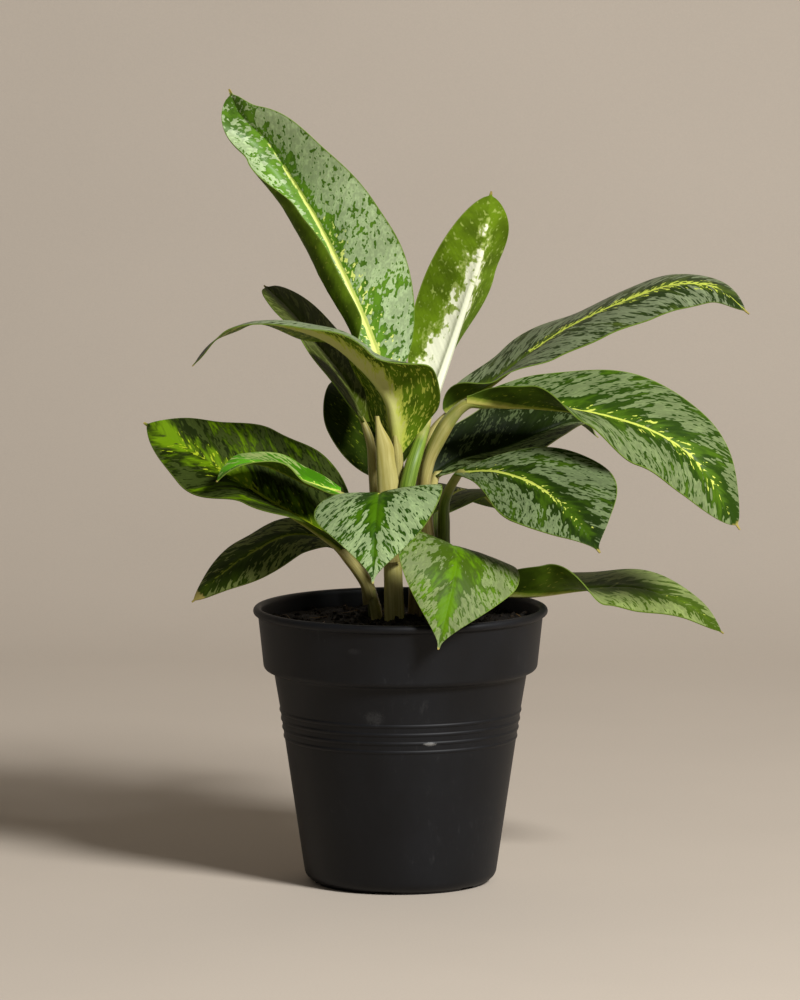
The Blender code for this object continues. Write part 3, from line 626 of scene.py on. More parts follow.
leafLooks = {
    "leaf_tall_left": {
        "silver": (170, 190, 140), "dark": (66, 100, 24), "fresh": (94, 136, 32), "yellow": (216, 224, 122),
        "size": 0.96, "streak": 1.2, "lean": 0.4, "green": -0.035, "band": (5, 8, 6, 5, 7, 5),
        "bandStrength": 0.11, "rib": (1.6, 1.3, 1.1, 0.9, 0.6, 0.3), "ribEnd": 0.7,
        "yellowFlecks": 0.045, "yellowReach": 11.0,
        "yellowEnd": 0.55, "under": (84, 108, 20), "edge": (112, 138, 54), "coat": 0.1,
    },
    "leaf_young_top": {
        "soft": 0.06, "lean": 0.15, "size": 1.5, "streak": 0.75, "edge": (132, 150, 60),
        "under": (92, 118, 18), "underSpeck": (150, 168, 80), "underLine": (244, 245, 214),
        "underCover": -0.015, "underRib": (14.0, 13.0, 11.5, 9.0, 5.5, 0.5, -5.0), "bleed": 22.0,
        "silver": (200, 204, 150), "dark": (96, 124, 30), "fresh": (112, 146, 56),
    },
    "leaf_upper_right": {
        "dryTip": 0.975,
        "rib": (0.4, 0.5, 0.7, 0.7, 0.5, 0.3),
        "silver": (124, 136, 100), "dark": (36, 52, 16), "fresh": (74, 92, 26), "streak": 2.4,
        "yellow": (190, 202, 80), "band": (5, 4, 5, 6, 7, 5), "bandStrength": 0.13, "ribEnd": 0.88,
        "yellowFlecks": 0.1, "yellowReach": 5.0, "ribStart": 0.3, "green": 0.0, "coat": 0.12,
    },
    "leaf_broad_right": {
        "dryTip": 0.97,
        "underLine": (170, 166, 84), "underRib": (2.4, 1.1, 0.5, 0.3, 0.1),
        "silver": (120, 136, 88), "dark": (38, 62, 8), "fresh": (72, 104, 16), "yellow": (200, 210, 92),
        "band": (3, 6, 8, 8, 7, 5), "yellowFlecks": 0.035, "yellowReach": 6.5, "ribEnd": 0.74,
        "streak": 1.8, "green": 0.008, "paleRight": 0.03,
    },
    # this leaf's left half takes painted shade, for the shadow of the broad right leaf above it
    "leaf_shaded_right": {
        "size": 0.8, "leftShade": 0.6, "paleRight": 0.09, "coat": 0.0, "edge": (150, 160, 100),
        "silver": (132, 152, 96), "dark": (34, 50, 8), "fresh": (46, 66, 10), "green": 0.09, "ribEnd": -0.3,
        "yellowFlecks": -0.1, "band": (2, 2, 2, 2, 2, 2),
    },
    "leaf_middle_right": {
        "dryTip": 0.975,
        "size": 0.9,
        "silver": (112, 128, 86), "dark": (30, 48, 8), "fresh": (58, 86, 12), "band": (2, 3, 6, 8, 8, 5),
        "ribEnd": 0.6, "streak": 1.6, "green": -0.02,
    },
    "leaf_front_right": {
        "bandStrength": 0.2,
        "size": 0.85,
        "silver": (126, 142, 88), "dark": (62, 86, 14), "fresh": (88, 128, 8), "band": (4, 10, 14, 10, 3, 0),
        "rib": (0.5, 0.5, 0.5, 0.5, 0.4, 0.3), "streak": 0.9, "ribEnd": -0.3, "yellowFlecks": -0.2,
        "green": -0.02, "coat": 0.0,
    },
    "leaf_front_left": {
        "bandStrength": 0.2,
        "size": 0.9,
        "yellowEnd": 0.5,
        "silver": (156, 178, 124), "dark": (36, 66, 8), "fresh": (70, 110, 8), "band": (5, 8, 8, 4, 1, 0),
        "streak": 1.4, "ribEnd": 0.3, "yellowFlecks": -0.05, "green": -0.012,
    },
    "leaf_arching_left": {
        "baseCream": 0.25,
        "under": (78, 102, 14), "underSpeck": (170, 178, 70), "underLine": (178, 178, 106),
        "underCover": 0.045, "underRib": (4.2, 5.0, 5.6, 4.8, 3.2, 1.8, 0.8), "bleed": 11.0,
        "silver": (140, 154, 116), "dark": (40, 54, 16), "streak": 1.3,
    },
    # these darker colours are painted shade: this leaf lies in the shadow of the tall left leaf
    "leaf_behind_left": {"silver": (96, 106, 50), "dark": (50, 60, 10), "fresh": (62, 76, 12), "green": 0.03,
                         "under": (66, 78, 20), "ribEnd": -0.3, "yellowFlecks": -0.2, "bandStrength": 0.05,
                         "coat": 0.0, "gloss": 0.03, "underCover": 0.0},
    # these very dark colours are painted shade: this leaf sits in shadow behind the stalks
    "leaf_dark_back": {"silver": (54, 68, 16), "dark": (32, 46, 6), "fresh": (38, 54, 6), "green": 0.06,
                       "ribEnd": -0.3, "yellowFlecks": 0.0, "yellow": (100, 116, 24), "yellowReach": 30.0,
                       "coat": 0.0, "gloss": 0.03},
    # these dark colours are painted shade: this leaf lies under the leaves above it
    "leaf_broad_left": {
        "rib": (1.4, 1.1, 0.8, 0.5, 0.4, 0.3),
        "yellowReach": 11.0,
        "yellowFlecks": 0.04,
        "silver": (56, 68, 24), "dark": (24, 34, 3), "fresh": (96, 128, 8), "green": 0.012,
        "yellow": (150, 166, 34), "band": (5, 7, 8, 10, 10, 6), "ribEnd": 0.5, "edge": (84, 100, 32),
        "coat": 0.0, "gloss": 0.03, "sheen": 0.6, "bandStrength": 0.12, "streak": 1.5,
    },
    "leaf_narrow_left": {
        "silver": (156, 176, 100), "dark": (60, 112, 10), "fresh": (86, 156, 16), "green": 0.02,
        "yellow": (190, 204, 90), "band": (6, 8, 7, 4, 2, 1), "underLine": (120, 140, 52),
        "under": (66, 92, 14),
    },
    "leaf_low_left": {
        "silver": (126, 138, 74), "dark": (44, 60, 10), "fresh": (62, 82, 14), "green": 0.01, "dryTip": 0.93,
        "yellow": (136, 148, 50), "edge": (108, 120, 50), "coat": 0.0, "gloss": 0.03, "sheen": 0.6,
        "rib": (1.0, 0.9, 0.8, 0.7, 0.5, 0.3), "ribStart": 0.15, "ribEnd": 0.7,
    },
    "leaf_low_right": {"silver": (138, 154, 88), "dark": (62, 86, 10), "fresh": (86, 112, 24), "streak": 2.0,
                       "yellowFlecks": -0.05, "ribEnd": 0.3, "under": (66, 88, 16), "gloss": 0.05},
    "leaf_small_back": {"silver": (100, 116, 56), "dark": (52, 70, 14), "fresh": (74, 94, 22), "gloss": 0.03,
                        "coat": 0.0},
}


# Every leaf's skin: the spacing of its flecks in millimetres, where a fleck turns green, and colours
skinMake = {
    "blot": 3.0,
    "fine": 1.4,
    "spur": 5.5,
    "clump": 13.0,
    "drop": 1.9,
    "twist": 0.2,
    "greenAt": (0.515, 0.535),
    "halfGreenAt": (0.47, 0.52),
    "speckAt": 0.615,
    "yellowAt": 0.74,
    "margin": (0.97, 0.995),
    "marginStrength": 0.8,
    "dryStrength": 0.85,
    "dryAbove": (170, 154, 84),
    "dryBelow": (150, 130, 74),
    # the colour of the painted shade that leftShade lays on a leaf's left half
    "shade": (14, 22, 4),
    "relief": 0.06,
    "coatRough": 0.28,
}


def tinted(parts, factor):
    return colour(*[part * factor for part in parts])


def leafMaterial(name, look, seed):
    board = Board(name + "_skin")
    u = board.value("lengthShare")
    vein, distance = board.value("veinPlace"), board.value("ribDistance")
    bandShare, ribShare = board.value("bandShare"), board.value("ribShare")
    across = board.value("sideShare")
    away, reach = abs(distance), abs(across)
    place = vein + away * (bladeMake["veinSlant"] * (1.0 - look["lean"]))

    def flecks(kind, stretch, detail, shift):
        # stretch is how much longer a fleck is away from the rib
        size = skinMake[kind] * look["size"]
        spot = board.point(place / size, distance / (size * stretch), seed + shift)
        return board.grain(spot, 1.0, detail, twist=skinMake["twist"])

    blots = flecks("blot", look["streak"], 3.0, 0.3)
    fine = flecks("fine", 0.5 + look["streak"] * 0.5, 1.0, 3.7)
    spurs = flecks("spur", 1.6, 2.0, 5.2)
    clumps = flecks("clump", 1.4, 1.0, 6.1)
    band = (bandShare + 2.6 * (spurs - 0.5) + 1.4 * (blots - 0.5) + 1.2 * (clumps - 0.5)).rise(-0.1, 0.14)
    cover = 0.55 * blots + 0.45 * fine + 0.2 * (clumps - 0.5) + look["bandStrength"] * band
    # painted light: the lit right half shows more silver, as far as paleRight says; the silver itself is the
    # leaf's own pattern
    cover = cover + 0.05 * reach.rise(0.94, 1.0) - look["paleRight"] * across.rise(0.0, 0.1)
    cover = cover + look["green"]
    tone = (0.55 * fine + 0.45 * clumps).rise(0.36, 0.64)
    silver = board.mix(tone, tinted(look["silver"], 0.86), tinted(look["silver"], 1.05))
    near = away.rise(look["yellowReach"], 0.5) * u.rise(0.97, 0.85)
    freshness = (near * 0.5 + 1.6 * (clumps - 0.5) + 1.4 * (blots - 0.5)).rise(0.0, 0.6)
    leafGreen = board.mix(freshness, colour(*look["dark"]), colour(*look["fresh"]))
    skin = board.mix(cover.rise(*skinMake["halfGreenAt"]) * 0.35, silver, leafGreen)
    green = cover.rise(*skinMake["greenAt"])
    skin = board.mix(green, skin, leafGreen)
    # painted shade: the left half is darkened towards the shade colour, as far as leftShade says
    skin = board.mix(across.rise(0.04, -0.04) * look["leftShade"], skin, colour(*skinMake["shade"]))

    threads = board.grain(board.point(u * 46.0, distance * 0.8, seed), 1.0, 2.0)
    ragged = u + 0.5 * (clumps - 0.5) + 0.5 * (threads - 0.5)
    fading = ragged.rise(look["ribEnd"] + 0.04, look["ribEnd"] - 0.05)
    started = ragged.rise(look["ribStart"] - 0.03, look["ribStart"] + 0.03)
    ribLine = (ribShare + 1.1 * (threads - 0.5)).rise(1.1, 0.75) * fading * started
    drops = flecks("drop", 1.3, 2.0, 9.3)
    ending = (u + 0.4 * (clumps - 0.5)).rise(look["yellowEnd"] + 0.06, look["yellowEnd"] - 0.06)
    sprinkled = near * started * ending
    wanted = skinMake["yellowAt"] - look["yellowFlecks"]
    yellowSpots = (drops + 0.12 * sprinkled + 0.16 * (blots - 0.5)).rise(wanted, wanted + 0.02)
    skin = board.mix(ribLine.most(yellowSpots * sprinkled.rise(0.0, 0.2)), skin, colour(*look["yellow"]))
    margin = reach.rise(*skinMake["margin"]) * skinMake["marginStrength"]
    skin = board.mix(margin, skin, colour(*look["edge"]))
    dryness = (u + 0.03 * (fine - 0.5)).rise(look["dryTip"] - 0.004, look["dryTip"] + 0.012)
    dryness = dryness * skinMake["dryStrength"]
    skin = board.mix(dryness, skin, colour(*skinMake["dryAbove"]))

    mottle = board.grain(board.stretched(0.09, 0.09, 0.09), 1.0, 3.0)
    tone = (mottle * 0.6 + spurs * 0.4).rise(0.38, 0.62)
    under = board.mix(tone, tinted(look["under"], 0.85), tinted(look["under"], 1.15))
    low, high = skinMake["speckAt"] - look["soft"], skinMake["speckAt"] + look["soft"]
    speckled = (0.7 * fine + 0.3 * drops + look["underCover"]).rise(low, high)
    under = board.mix(speckled, under, colour(*look["underSpeck"]))
    fray = (blots - 0.5) * 0.9 + (fine - 0.5) * 0.6 + (spurs - 0.5) * 0.4
    seep = board.value("underGap") + look["bleed"] * fray
    width = 0.3 + 0.06 * look["bleed"]
    under = board.mix(seep.rise(width, -width), under, colour(*look["underSpeck"]))
    creamy = look["baseCream"] + (1.0 - look["baseCream"]) * u.rise(0.0, 0.2)
    under = board.mix(seep.rise(-width, -1.0 - 2.0 * width) * creamy, under, colour(*look["underLine"]))
    under = board.mix(margin, under, colour(*look["edge"]))
    under = board.mix(dryness, under, colour(*skinMake["dryBelow"]))

    skinGrain = board.grain(board.stretched(2.2, 2.2, 2.2), 1.0, 3.0)
    ripple = (vein * (math.tau / (bladeMake["veinSpacing"] / 3))).wave()
    height = skinGrain * 0.6 + ripple * 0.25 + green * -0.2
    below = board.value("underside")
    return board.shade(
        colour=board.mix(below, skin, under),
        roughness=look["sheen"] - 0.06 * green + 0.06 * skinGrain + 0.1 * below,
        normal=board.bump(height, skinMake["relief"], 0.6),
        gloss=look["gloss"],
        coat=(1.0 - below) * look["coat"],
        coatRough=skinMake["coatRough"],
    )


# Lengths in millimetres, and pairs of colours from 0 to 255 that are mixed in streaks
stemMake = {
    "sides": 24,
    "ringGap": 1.6,
    "fewestRings": 6,
    "rooted": 12.0,
    "soilTop": 106.0,
    "groove": 0.25,  # depth of the groove along a stalk, as a share of its radius
    "belowRib": ((0.0, 1.1), (0.05, 1.15), (0.1, 1.1)),  # share of the rib's length, and how far under it
    "cream": ((206, 196, 124), (172, 160, 82)),
    "green": ((84, 112, 24), (124, 150, 52)),
    "brown": ((142, 108, 58), (96, 70, 34)),
    # the dark brown of painted shade on the stems
    "shade": (44, 40, 14),
}


def buildTube(bm, layers, points, radii, tints, groove=0.0, face=(0.0, 0.0, 1.0), sides=stemMake["sides"]):
    # a closed stem along a smooth line; a groove runs along the side that faces that way
    line = SmoothLine(points)
    rings = max(int(line.reach[-1] / stemMake["ringGap"]), stemMake["fewestRings"])
    ring = bmesh.ops.create_circle(bm, segments=sides, radius=1.0)["verts"]
    for vert in ring:
        vert[layers["ringX"]], vert[layers["ringY"]] = vert.co.x, vert.co.y
    side = Vector((1.0, 0.0, 0.0))
    edges = list({edge for vert in ring for edge in vert.link_edges})
    ends = [edges]
    for step in range(rings + 1):
        u = step / rings
        if step:
            made = bmesh.ops.extrude_edge_only(bm, edges=edges)["geom"]
            ring = [item for item in made if isinstance(item, bmesh.types.BMVert)]
            edges = [item for item in made if isinstance(item, bmesh.types.BMEdge)
                     and item.verts[0] in ring and item.verts[1] in ring]
        heading = line.heading(u)
        side = (side - heading * side.dot(heading)).normalized()
        deep = heading.cross(side)
        radius = alongOne(radii, u)
        upward = Vector(face)
        upward = (upward - heading * upward.dot(heading)).normalized()
        for vert in ring:
            spoke = side * vert[layers["ringX"]] + deep * vert[layers["ringY"]]
            turn = spoke.dot(upward)
            dent = 1.0 - groove * max(turn, 0.0) ** 3 if groove else 1.0
            vert.co = line.at(u) + spoke * radius * dent
            vert[layers["stemPlace"]] = u * line.reach[-1]
            vert[layers["greenness"]] = alongOne(tints["green"], u)
            vert[layers["browning"]] = alongOne(tints["brown"], u)
            vert[layers["shading"]] = alongOne(tints["shade"], u)
    ends.append(edges)
    for loop in ends:
        bmesh.ops.contextual_create(bm, geom=loop)


def stalkPoints(leaf):
    # the stalk's own points, then on below the blade, where it becomes the rib
    rib = SmoothLine(leaf["rib"])
    points = list(leaf["stalk"])
    for u, depth in stemMake["belowRib"]:
        heading = rib.heading(u)
        side = sideOf(heading, leaf["face"], u)
        points.append(rib.at(u) - side.cross(heading) * depth)
    return points


# From base to tip: half thickness in millimetres, how green and how brown the cream is, and how much painted
# shade darkens it where the leaves shade it.
plainStalk = {
    "radii": (2.9, 2.7, 2.4, 2.0, 0.5),
    "green": (0.2, 0.1, 0.1, 0.2, 0.4),
    "brown": (0.5, 0.1, 0.0, 0.0, 0.0),
    "shade": (0.5, 0.3, 0.2, 0.2, 0.2),
}
stalkLooks = {
    "leaf_tall_left": {"radii": (2.9, 2.6, 2.2, 1.8, 0.5)},
    "leaf_young_top": {"radii": (2.9, 3.3, 3.1, 2.4, 0.6), "green": (1.0, 1.1, 1.1, 0.6, 0.0),
                       "brown": (0, 0, 0, 0, 0), "shade": (0.3, 0.0, 0.0, 0.0, 0.0)},
    "leaf_broad_right": {"radii": (3.0, 2.9, 3.1, 3.5, 2.6, 1.2), "brown": (0.5, 0.8, 0.3, 0.0, 0.0, 0.0),
                         "green": (0.1, 0.0, 0.2, 0.4, 0.5, 0.6), "shade": (0.3, 0.3, 0.3, 0.2, 0.15)},
    "leaf_arching_left": {"radii": (2.9, 2.8, 2.6, 2.3, 0.6), "shade": (0.3, 0.25, 0.2, 0.2, 0.2)},
    "leaf_behind_left": {"radii": (2.6, 2.3, 2.1, 1.9, 0.5), "shade": (0.6, 0.5, 0.4, 0.4, 0.4)},
    "leaf_front_right": {"brown": (0.9, 0.9, 0.6, 0.2, 0.0), "shade": (1.0, 1.0, 0.8, 0.6, 0.4)},
    "leaf_middle_right": {"green": (0.8, 0.9, 0.8, 0.5, 0.3), "shade": (0.8, 0.6, 0.5, 0.4, 0.3)},
    "leaf_low_right": {"green": (1.0, 1.0, 1.0, 0.8, 0.6), "shade": (1.0, 0.9, 0.8, 0.6, 0.4)},
    "leaf_small_back": {"green": (1.0, 1.0, 0.9, 0.8, 0.6), "shade": (0.8, 0.6, 0.4, 0.3, 0.3)},
}
# the shoots' shade values are painted shade as well, darkest where the leaves shade them
shootLooks = {
    "shoot_main": {"green": (0.1, 0.2, 0.3, 0.2), "brown": (0.3, 0.2, 0.2, 0.0),
                   "shade": (0.0, 0.0, 0.2, 0.2)},
    "shoot_right": {"green": (0.2, 0.2, 0.2, 0.1), "brown": (0.7, 0.7, 0.6, 0.4),
                    "shade": (0.4, 0.4, 0.4, 0.3)},
    "shoot_back": {"green": (1.0, 1.0, 0.9, 0.7), "brown": (0.5, 0.3, 0.1, 0.0),
                   "shade": (0.9, 0.8, 0.7, 0.5)},
    "shoot_left": {"green": (0.1, 0.2, 0.4, 0.5), "brown": (0.6, 0.5, 0.4, 0.3),
                   "shade": (0.0, 0.1, 0.2, 0.3)},
    "shoot_low": {"green": (0.6, 0.6, 0.6, 0.6), "brown": (0.8, 0.6, 0.4, 0.2),
                  "shade": (1.0, 1.0, 0.9, 0.8)},
}
stemLayers = ("ringX", "ringY", "stemPlace", "greenness", "browning", "shading")


def buildShoot(name, shoot, material):
    bm = bmesh.new()
    layers = {key: bm.verts.layers.float.new(key) for key in stemLayers}
    x, y = shoot["place"]
    base = stemMake["soilTop"] - stemMake["rooted"]
    lowRadius, highRadius = shoot["radius"]
    points = [(x, y, base), (x, y, base + stemMake["rooted"] + 2.0), shoot["top"]]
    buildTube(bm, layers, points, (lowRadius, lowRadius, highRadius, highRadius * 0.8), shootLooks[name])
    for leafName, leaf in leaves.items():
        if leaf["shoot"] == name:
            tints = {**plainStalk, **stalkLooks.get(leafName, {})}
            points, groove = stalkPoints(leaf), stemMake["groove"]
            buildTube(bm, layers, points, tints["radii"], tints, groove, leaf["face"][0])
    return finishSized(name + "_stems", bm, material)


def stemMaterial():
    board = Board("stem_skin")
    length = board.value("stemPlace")
    lines = board.point(board.value("ringX") * 4.0, board.value("ringY") * 4.0, length * 0.05)
    streak = board.grain(lines, 1.0, 3.0)
    fineStreak = board.grain(lines, 3.0, 2.0)
    blotch = board.grain(board.stretched(0.22, 0.22, 0.12), 1.0, 3.0)
    cream = board.mix(streak.rise(0.3, 0.7), *[colour(*parts) for parts in stemMake["cream"]])
    green = board.mix(streak.rise(0.35, 0.65), *[colour(*parts) for parts in stemMake["green"]])
    brown = board.mix(fineStreak.rise(0.3, 0.7), *[colour(*parts) for parts in stemMake["brown"]])
    skin = board.mix((board.value("greenness") + 0.5 * (blotch - 0.5)).rise(0.15, 0.85), cream, green)
    skin = board.mix((board.value("browning") + 0.9 * (blotch - 0.5)).rise(0.2, 1.0), skin, brown)
    # painted shade: the shading value darkens the cream towards the shade colour
    skin = board.mix(board.value("shading") * 0.75, skin, colour(*stemMake["shade"]))
    normal = board.bump(fineStreak * 0.5 + streak * 0.5, 0.12, 0.7)
    return board.shade(colour=skin, roughness=0.36 + 0.2 * blotch, normal=normal, gloss=0.35)


sheathMake = {
    "rib": [(-7.0, -6.5, 132), (-7.2, -9.5, 150), (-8.2, -10.5, 168), (-9.0, -10.5, 184), (-9.5, -10.5, 192)],
    "face": [(0.3, 1.0, 0.0), (0.3, 1.0, 0.0)],
    "leftWidth": (3.5, 3.2, 2.8, 1.8, 0.3),
    "rightWidth": (8.6, 8.2, 7.6, 6.2, 0.3),
    "leftTurn": (20.0, 90.0),
    "rightTurn": (-5.0, 75.0),
    "thick": 0.8,
    "across": 24,
    "along": 60,
}


def buildSheath(material):
    # the wide sheath that wraps the stalks in the middle and ends in a free point
    bm = bmesh.new()
    layers = {key: bm.verts.layers.float.new(key) for key in stemLayers}
    line = SmoothLine(sheathMake["rib"])
    facing = bm.verts.layers.float_vector.new("facing")
    across, lengthwise = sheathMake["across"], sheathMake["along"]
    bmesh.ops.create_grid(bm, x_segments=across, y_segments=lengthwise, size=1.0)
    for vert in bm.verts:
        v, u = vert.co.x, (vert.co.y + 1.0) / 2
        heading = line.heading(u)
        side = sideOf(heading, sheathMake["face"], u)
        up = side.cross(heading)
        width = alongOne(sheathMake["rightWidth" if v < 0 else "leftWidth"], u) * abs(v)
        fold, curl = sheathMake["rightTurn" if v < 0 else "leftTurn"]
        across, rise = bent(width, math.radians(fold), math.radians(curl) * abs(v))
        vert[layers["ringX"]], vert[layers["ringY"]] = v, 0.0
        vert[layers["stemPlace"]] = u * line.reach[-1]
        vert[layers["browning"]] = 0.05 + 0.2 * u ** 8
        # painted shade: darker towards the base, where the sheath stands under the leaves
        vert[layers["shading"]] = 0.2 + 0.5 * (1.0 - u) ** 2
        vert.co = line.at(u) + side * math.copysign(across, v) + up * rise
    for vert in doubled(bm, facing):
        vert.co -= vert[facing] * sheathMake["thick"]
    bm.verts.layers.float_vector.remove(facing)
    return finishSized("centre_sheath", bm, material)


# Lengths in millimetres
potMake = {
    "topRadius": 60.0,
    "height": 113.0,
    "wall": 1.3,
    "lip": 1.7,
    "collarHeight": 26.0,
    "collarTop": 58.0,
    "collarLow": 55.9,
    "ledge": 51.7,
    "bodyLow": 39.4,
    "foot": 35.6,
    "footCorner": 6.0,
    "floor": 3.4,
    "recess": 1.6,
    "footRing": 4.0,
    "boss": 6.0,
    "drainCount": 6,
    "drainCircle": 22.0,
    "drainRadius": 4.0,
    "notchCount": 6,
    "notchTurn": -101.0,
    "notchWide": 7.2,
    "notchHigh": 1.1,
    "ridgeTop": 71.5,
    "ridgeStep": 3.6,
    "ridgeCount": 4,
    "ridgeOut": 0.4,
    "ridgeSunk": 0.25,
    "ridgeForm": ((0.0, 0.0), (0.35, 0.75), (0.8, 1.0), (1.25, 0.75), (1.6, 0.0)),  # drop, share of ridgeOut
    "lipSteps": 14,
    "cornerSteps": 8,
    "sides": 192,
    "holeSides": 32,
    "sharp": 35.0,  # degrees
    "black": (12, 12, 14),
    "worn": (18, 19, 22),
    "dust": (76, 76, 76),
    "scuff": (176, 176, 174),
    # pale rub marks on the front: across, height, half width, half height and strength
    "scuffs": [
        (12.0, 63.3, 3.0, 0.8, 0.45),
        (-10.4, 74.0, 4.5, 3.4, 0.04),
        (-18.7, 102.0, 3.0, 1.4, 0.02),
    ],
}


def collarFoot():
    return potMake["height"] - potMake["collarHeight"]


def bodyRadius(height):
    # outside of the wall between the foot and the ledge
    slope = (potMake["ledge"] - potMake["bodyLow"]) / (collarFoot() - potMake["footCorner"])
    return potMake["bodyLow"] + slope * (height - potMake["footCorner"])


def arc(middle, radius, start, end, steps):
    # points of (radius, height) round a middle, from one angle to another in degrees
    turns = [math.radians(start + (end - start) * i / steps) for i in range(steps + 1)]
    return [(middle[0] + radius * math.cos(turn), middle[1] + radius * math.sin(turn)) for turn in turns]


def potProfile():
    # up the inside, over the rolled lip and down the outside
    make = potMake
    wall, lip, low = make["wall"], make["lip"], collarFoot()
    top = make["height"] - lip
    steps = make["cornerSteps"]
    points = [(0.0, make["floor"]), (make["foot"] - 1.5, make["floor"])]
    points += [(make["bodyLow"] - wall - 0.6, make["floor"] + 3.0), (bodyRadius(low - 2.0) - wall, low - 2.0)]
    points += [(make["collarLow"] - wall - 0.4, low + 1.6), (make["collarTop"] - wall - 0.2, top - 0.4)]
    points += arc((make["topRadius"] - lip, top), lip, 165, -80, make["lipSteps"])
    points += [(make["collarTop"] + 0.05, top - lip - 0.35), (make["collarTop"] - 0.1, top - lip - 1.2)]
    points += arc((make["collarLow"] - 2.6, low + 2.6), 2.6, 0, -80, steps)
    points += [(make["ledge"] + 0.5, low - 0.2), (make["ledge"] + 0.1, low - 0.5)]
    points += [(bodyRadius(low - 1.4), low - 1.4)]
    for ridge in range(make["ridgeCount"]):
        height = make["ridgeTop"] - ridge * make["ridgeStep"]
        for drop, out in make["ridgeForm"]:
            radius = bodyRadius(height - drop) + out * make["ridgeOut"] - make["ridgeSunk"]
            points.append((radius, height - drop))
    points += [(bodyRadius(make["footCorner"] + 3.0), make["footCorner"] + 3.0)]
    points += arc((make["foot"] - 1.2, 5.6), 4.9, -5, -70, steps)
    points += [(make["foot"] - 0.3, 0.0), (make["foot"] - make["footRing"], 0.0)]
    points += [(make["foot"] - make["footRing"] - 0.8, make["recess"]), (make["boss"] + 0.8, make["recess"])]
    points += [(make["boss"], 0.0), (0.0, 0.0)]
    return points


def spun(profile, sides):
    bm = bmesh.new()
    verts = [bm.verts.new((radius * unit, 0.0, height * unit)) for radius, height in profile]
    edges = [bm.edges.new(pair) for pair in zip(verts, verts[1:])]
    turn = {"cent": (0, 0, 0), "axis": (0, 0, 1), "angle": math.tau}
    bmesh.ops.spin(bm, geom=verts + edges, steps=sides, use_merge=True, **turn)
    bmesh.ops.remove_doubles(bm, verts=bm.verts, dist=0.00001)
    bmesh.ops.recalc_face_normals(bm, faces=bm.faces)
    return bm


def cutAway(piece, cutters):
    for cutter in cutters:
        cut = piece.modifiers.new("cut", "BOOLEAN")
        cut.operation = "DIFFERENCE"
        cut.solver = "EXACT"
        cut.object = cutter
    shape = bpy.data.meshes.new_from_object(piece.evaluated_get(bpy.context.evaluated_depsgraph_get()))
    piece.modifiers.clear()
    piece.data = shape
    for cutter in cutters:
        bpy.data.objects.remove(cutter, do_unlink=True)


def buildPot(material):
    pot = finishPiece("pot_shell", spun(potProfile(), potMake["sides"]), material, potMake["sharp"])
    cutters = []
    for hole in range(potMake["drainCount"]):
        turn = math.tau * (hole + 0.5) / potMake["drainCount"]
        bm = bmesh.new()
        radius = potMake["drainRadius"] * unit
        size = {"radius1": radius, "radius2": radius, "depth": 3 * radius}
        bmesh.ops.create_cone(bm, cap_ends=True, segments=potMake["holeSides"], **size)
        place = Vector((math.cos(turn), math.sin(turn), 0.0)) * potMake["drainCircle"] * unit
        bmesh.ops.translate(bm, vec=place, verts=bm.verts)
        cutters.append(finishPiece("drain", bm, material))
    size = Vector((potMake["footRing"] * 3, potMake["notchWide"], potMake["notchHigh"] * 2)) * unit
    middle = (potMake["foot"] - potMake["footRing"] / 2) * unit
    for notch in range(potMake["notchCount"]):
        turn = math.radians(potMake["notchTurn"]) + math.tau * notch / potMake["notchCount"]
        place = Matrix.Rotation(turn, 4, "Z") @ Matrix.Translation((middle, 0.0, 0.0))
        bm = bmesh.new()
        bmesh.ops.create_cube(bm, size=1.0, matrix=place @ Matrix.Diagonal((*size, 1.0)))
        cutters.append(finishPiece("notch", bm, material))
    cutAway(pot, cutters)
    return pot


def potMaterial():
    board = Board("pot_plastic")
    fineGrain = board.grain(board.stretched(1.6, 1.6, 1.6), 1.0, 4.0)
    cloud = board.grain(board.stretched(0.035, 0.035, 0.02), 1.0, 4.0, 0.6)
    dust = board.grain(board.stretched(0.5, 0.5, 0.16), 1.0, 5.0, 0.7)
    dusty = (dust * 0.6 + cloud * 0.4).rise(0.56, 0.78)
    base = board.mix(cloud.rise(0.3, 0.7), colour(*potMake["black"]), colour(*potMake["worn"]))
    skin = board.mix(dusty * 0.3, base, colour(*potMake["dust"]))
    across, back, height = board.axis(0), board.axis(1), board.axis(2)
    for x, z, wide, high, strength in potMake["scuffs"]:
        side, rise = (across - x) / wide, (height - z) / high
        patch = side * side + rise * rise + 2.4 * (fineGrain - 0.5) + 1.6 * (dust - 0.5)
        mark = patch.rise(1.1, -0.2) * back.rise(-20.0, -30.0)
        skin = board.mix(mark * strength, skin, colour(*potMake["scuff"]))
    normal = board.bump(fineGrain + dust * 0.3, 0.03, 0.5)
    return board.shade(colour=skin, roughness=0.46 + 0.14 * cloud + 0.1 * dusty, normal=normal, gloss=0.24)


# Lengths in millimetres
soilMake = {
    "top": 106.0,
    "mound": 1.6,
    "moundPlace": (2.0, 2.0),
    "moundSpread": 20.0,
    "gap": 0.3,
    "sides": 128,
    "rings": 46,
    "rough": 0.9,
    "roughSpan": 4.0,
    "crumbs": 900,
    "crumbsReach": 55.0,
    "fibres": 34,
    "fibresReach": 52.0,
    "fibreSides": 5,
    "fibreRadii": (0.12, 0.22, 0.12),
    "fibreTints": {"green": (0, 0), "brown": (1, 1), "shade": (0.3, 0.3)},
}


def soilHeight(x, y):
    middleX, middleY = soilMake["moundPlace"]
    distance = math.hypot(x - middleX, y - middleY)
    mound = soilMake["mound"] * math.exp(-(distance / soilMake["moundSpread"]) ** 2)
    ripple = 0.5 * math.sin(x * 0.21 + 1.0) * math.cos(y * 0.17) + 0.3 * math.sin(x * 0.43 - y * 0.37)
    spot = Vector((x / soilMake["roughSpan"], y / soilMake["roughSpan"], 2.0))
    rough = noise.fractal(spot, 0.8, 2.2, 4) * soilMake["rough"]
    return soilMake["top"] + mound + ripple + rough


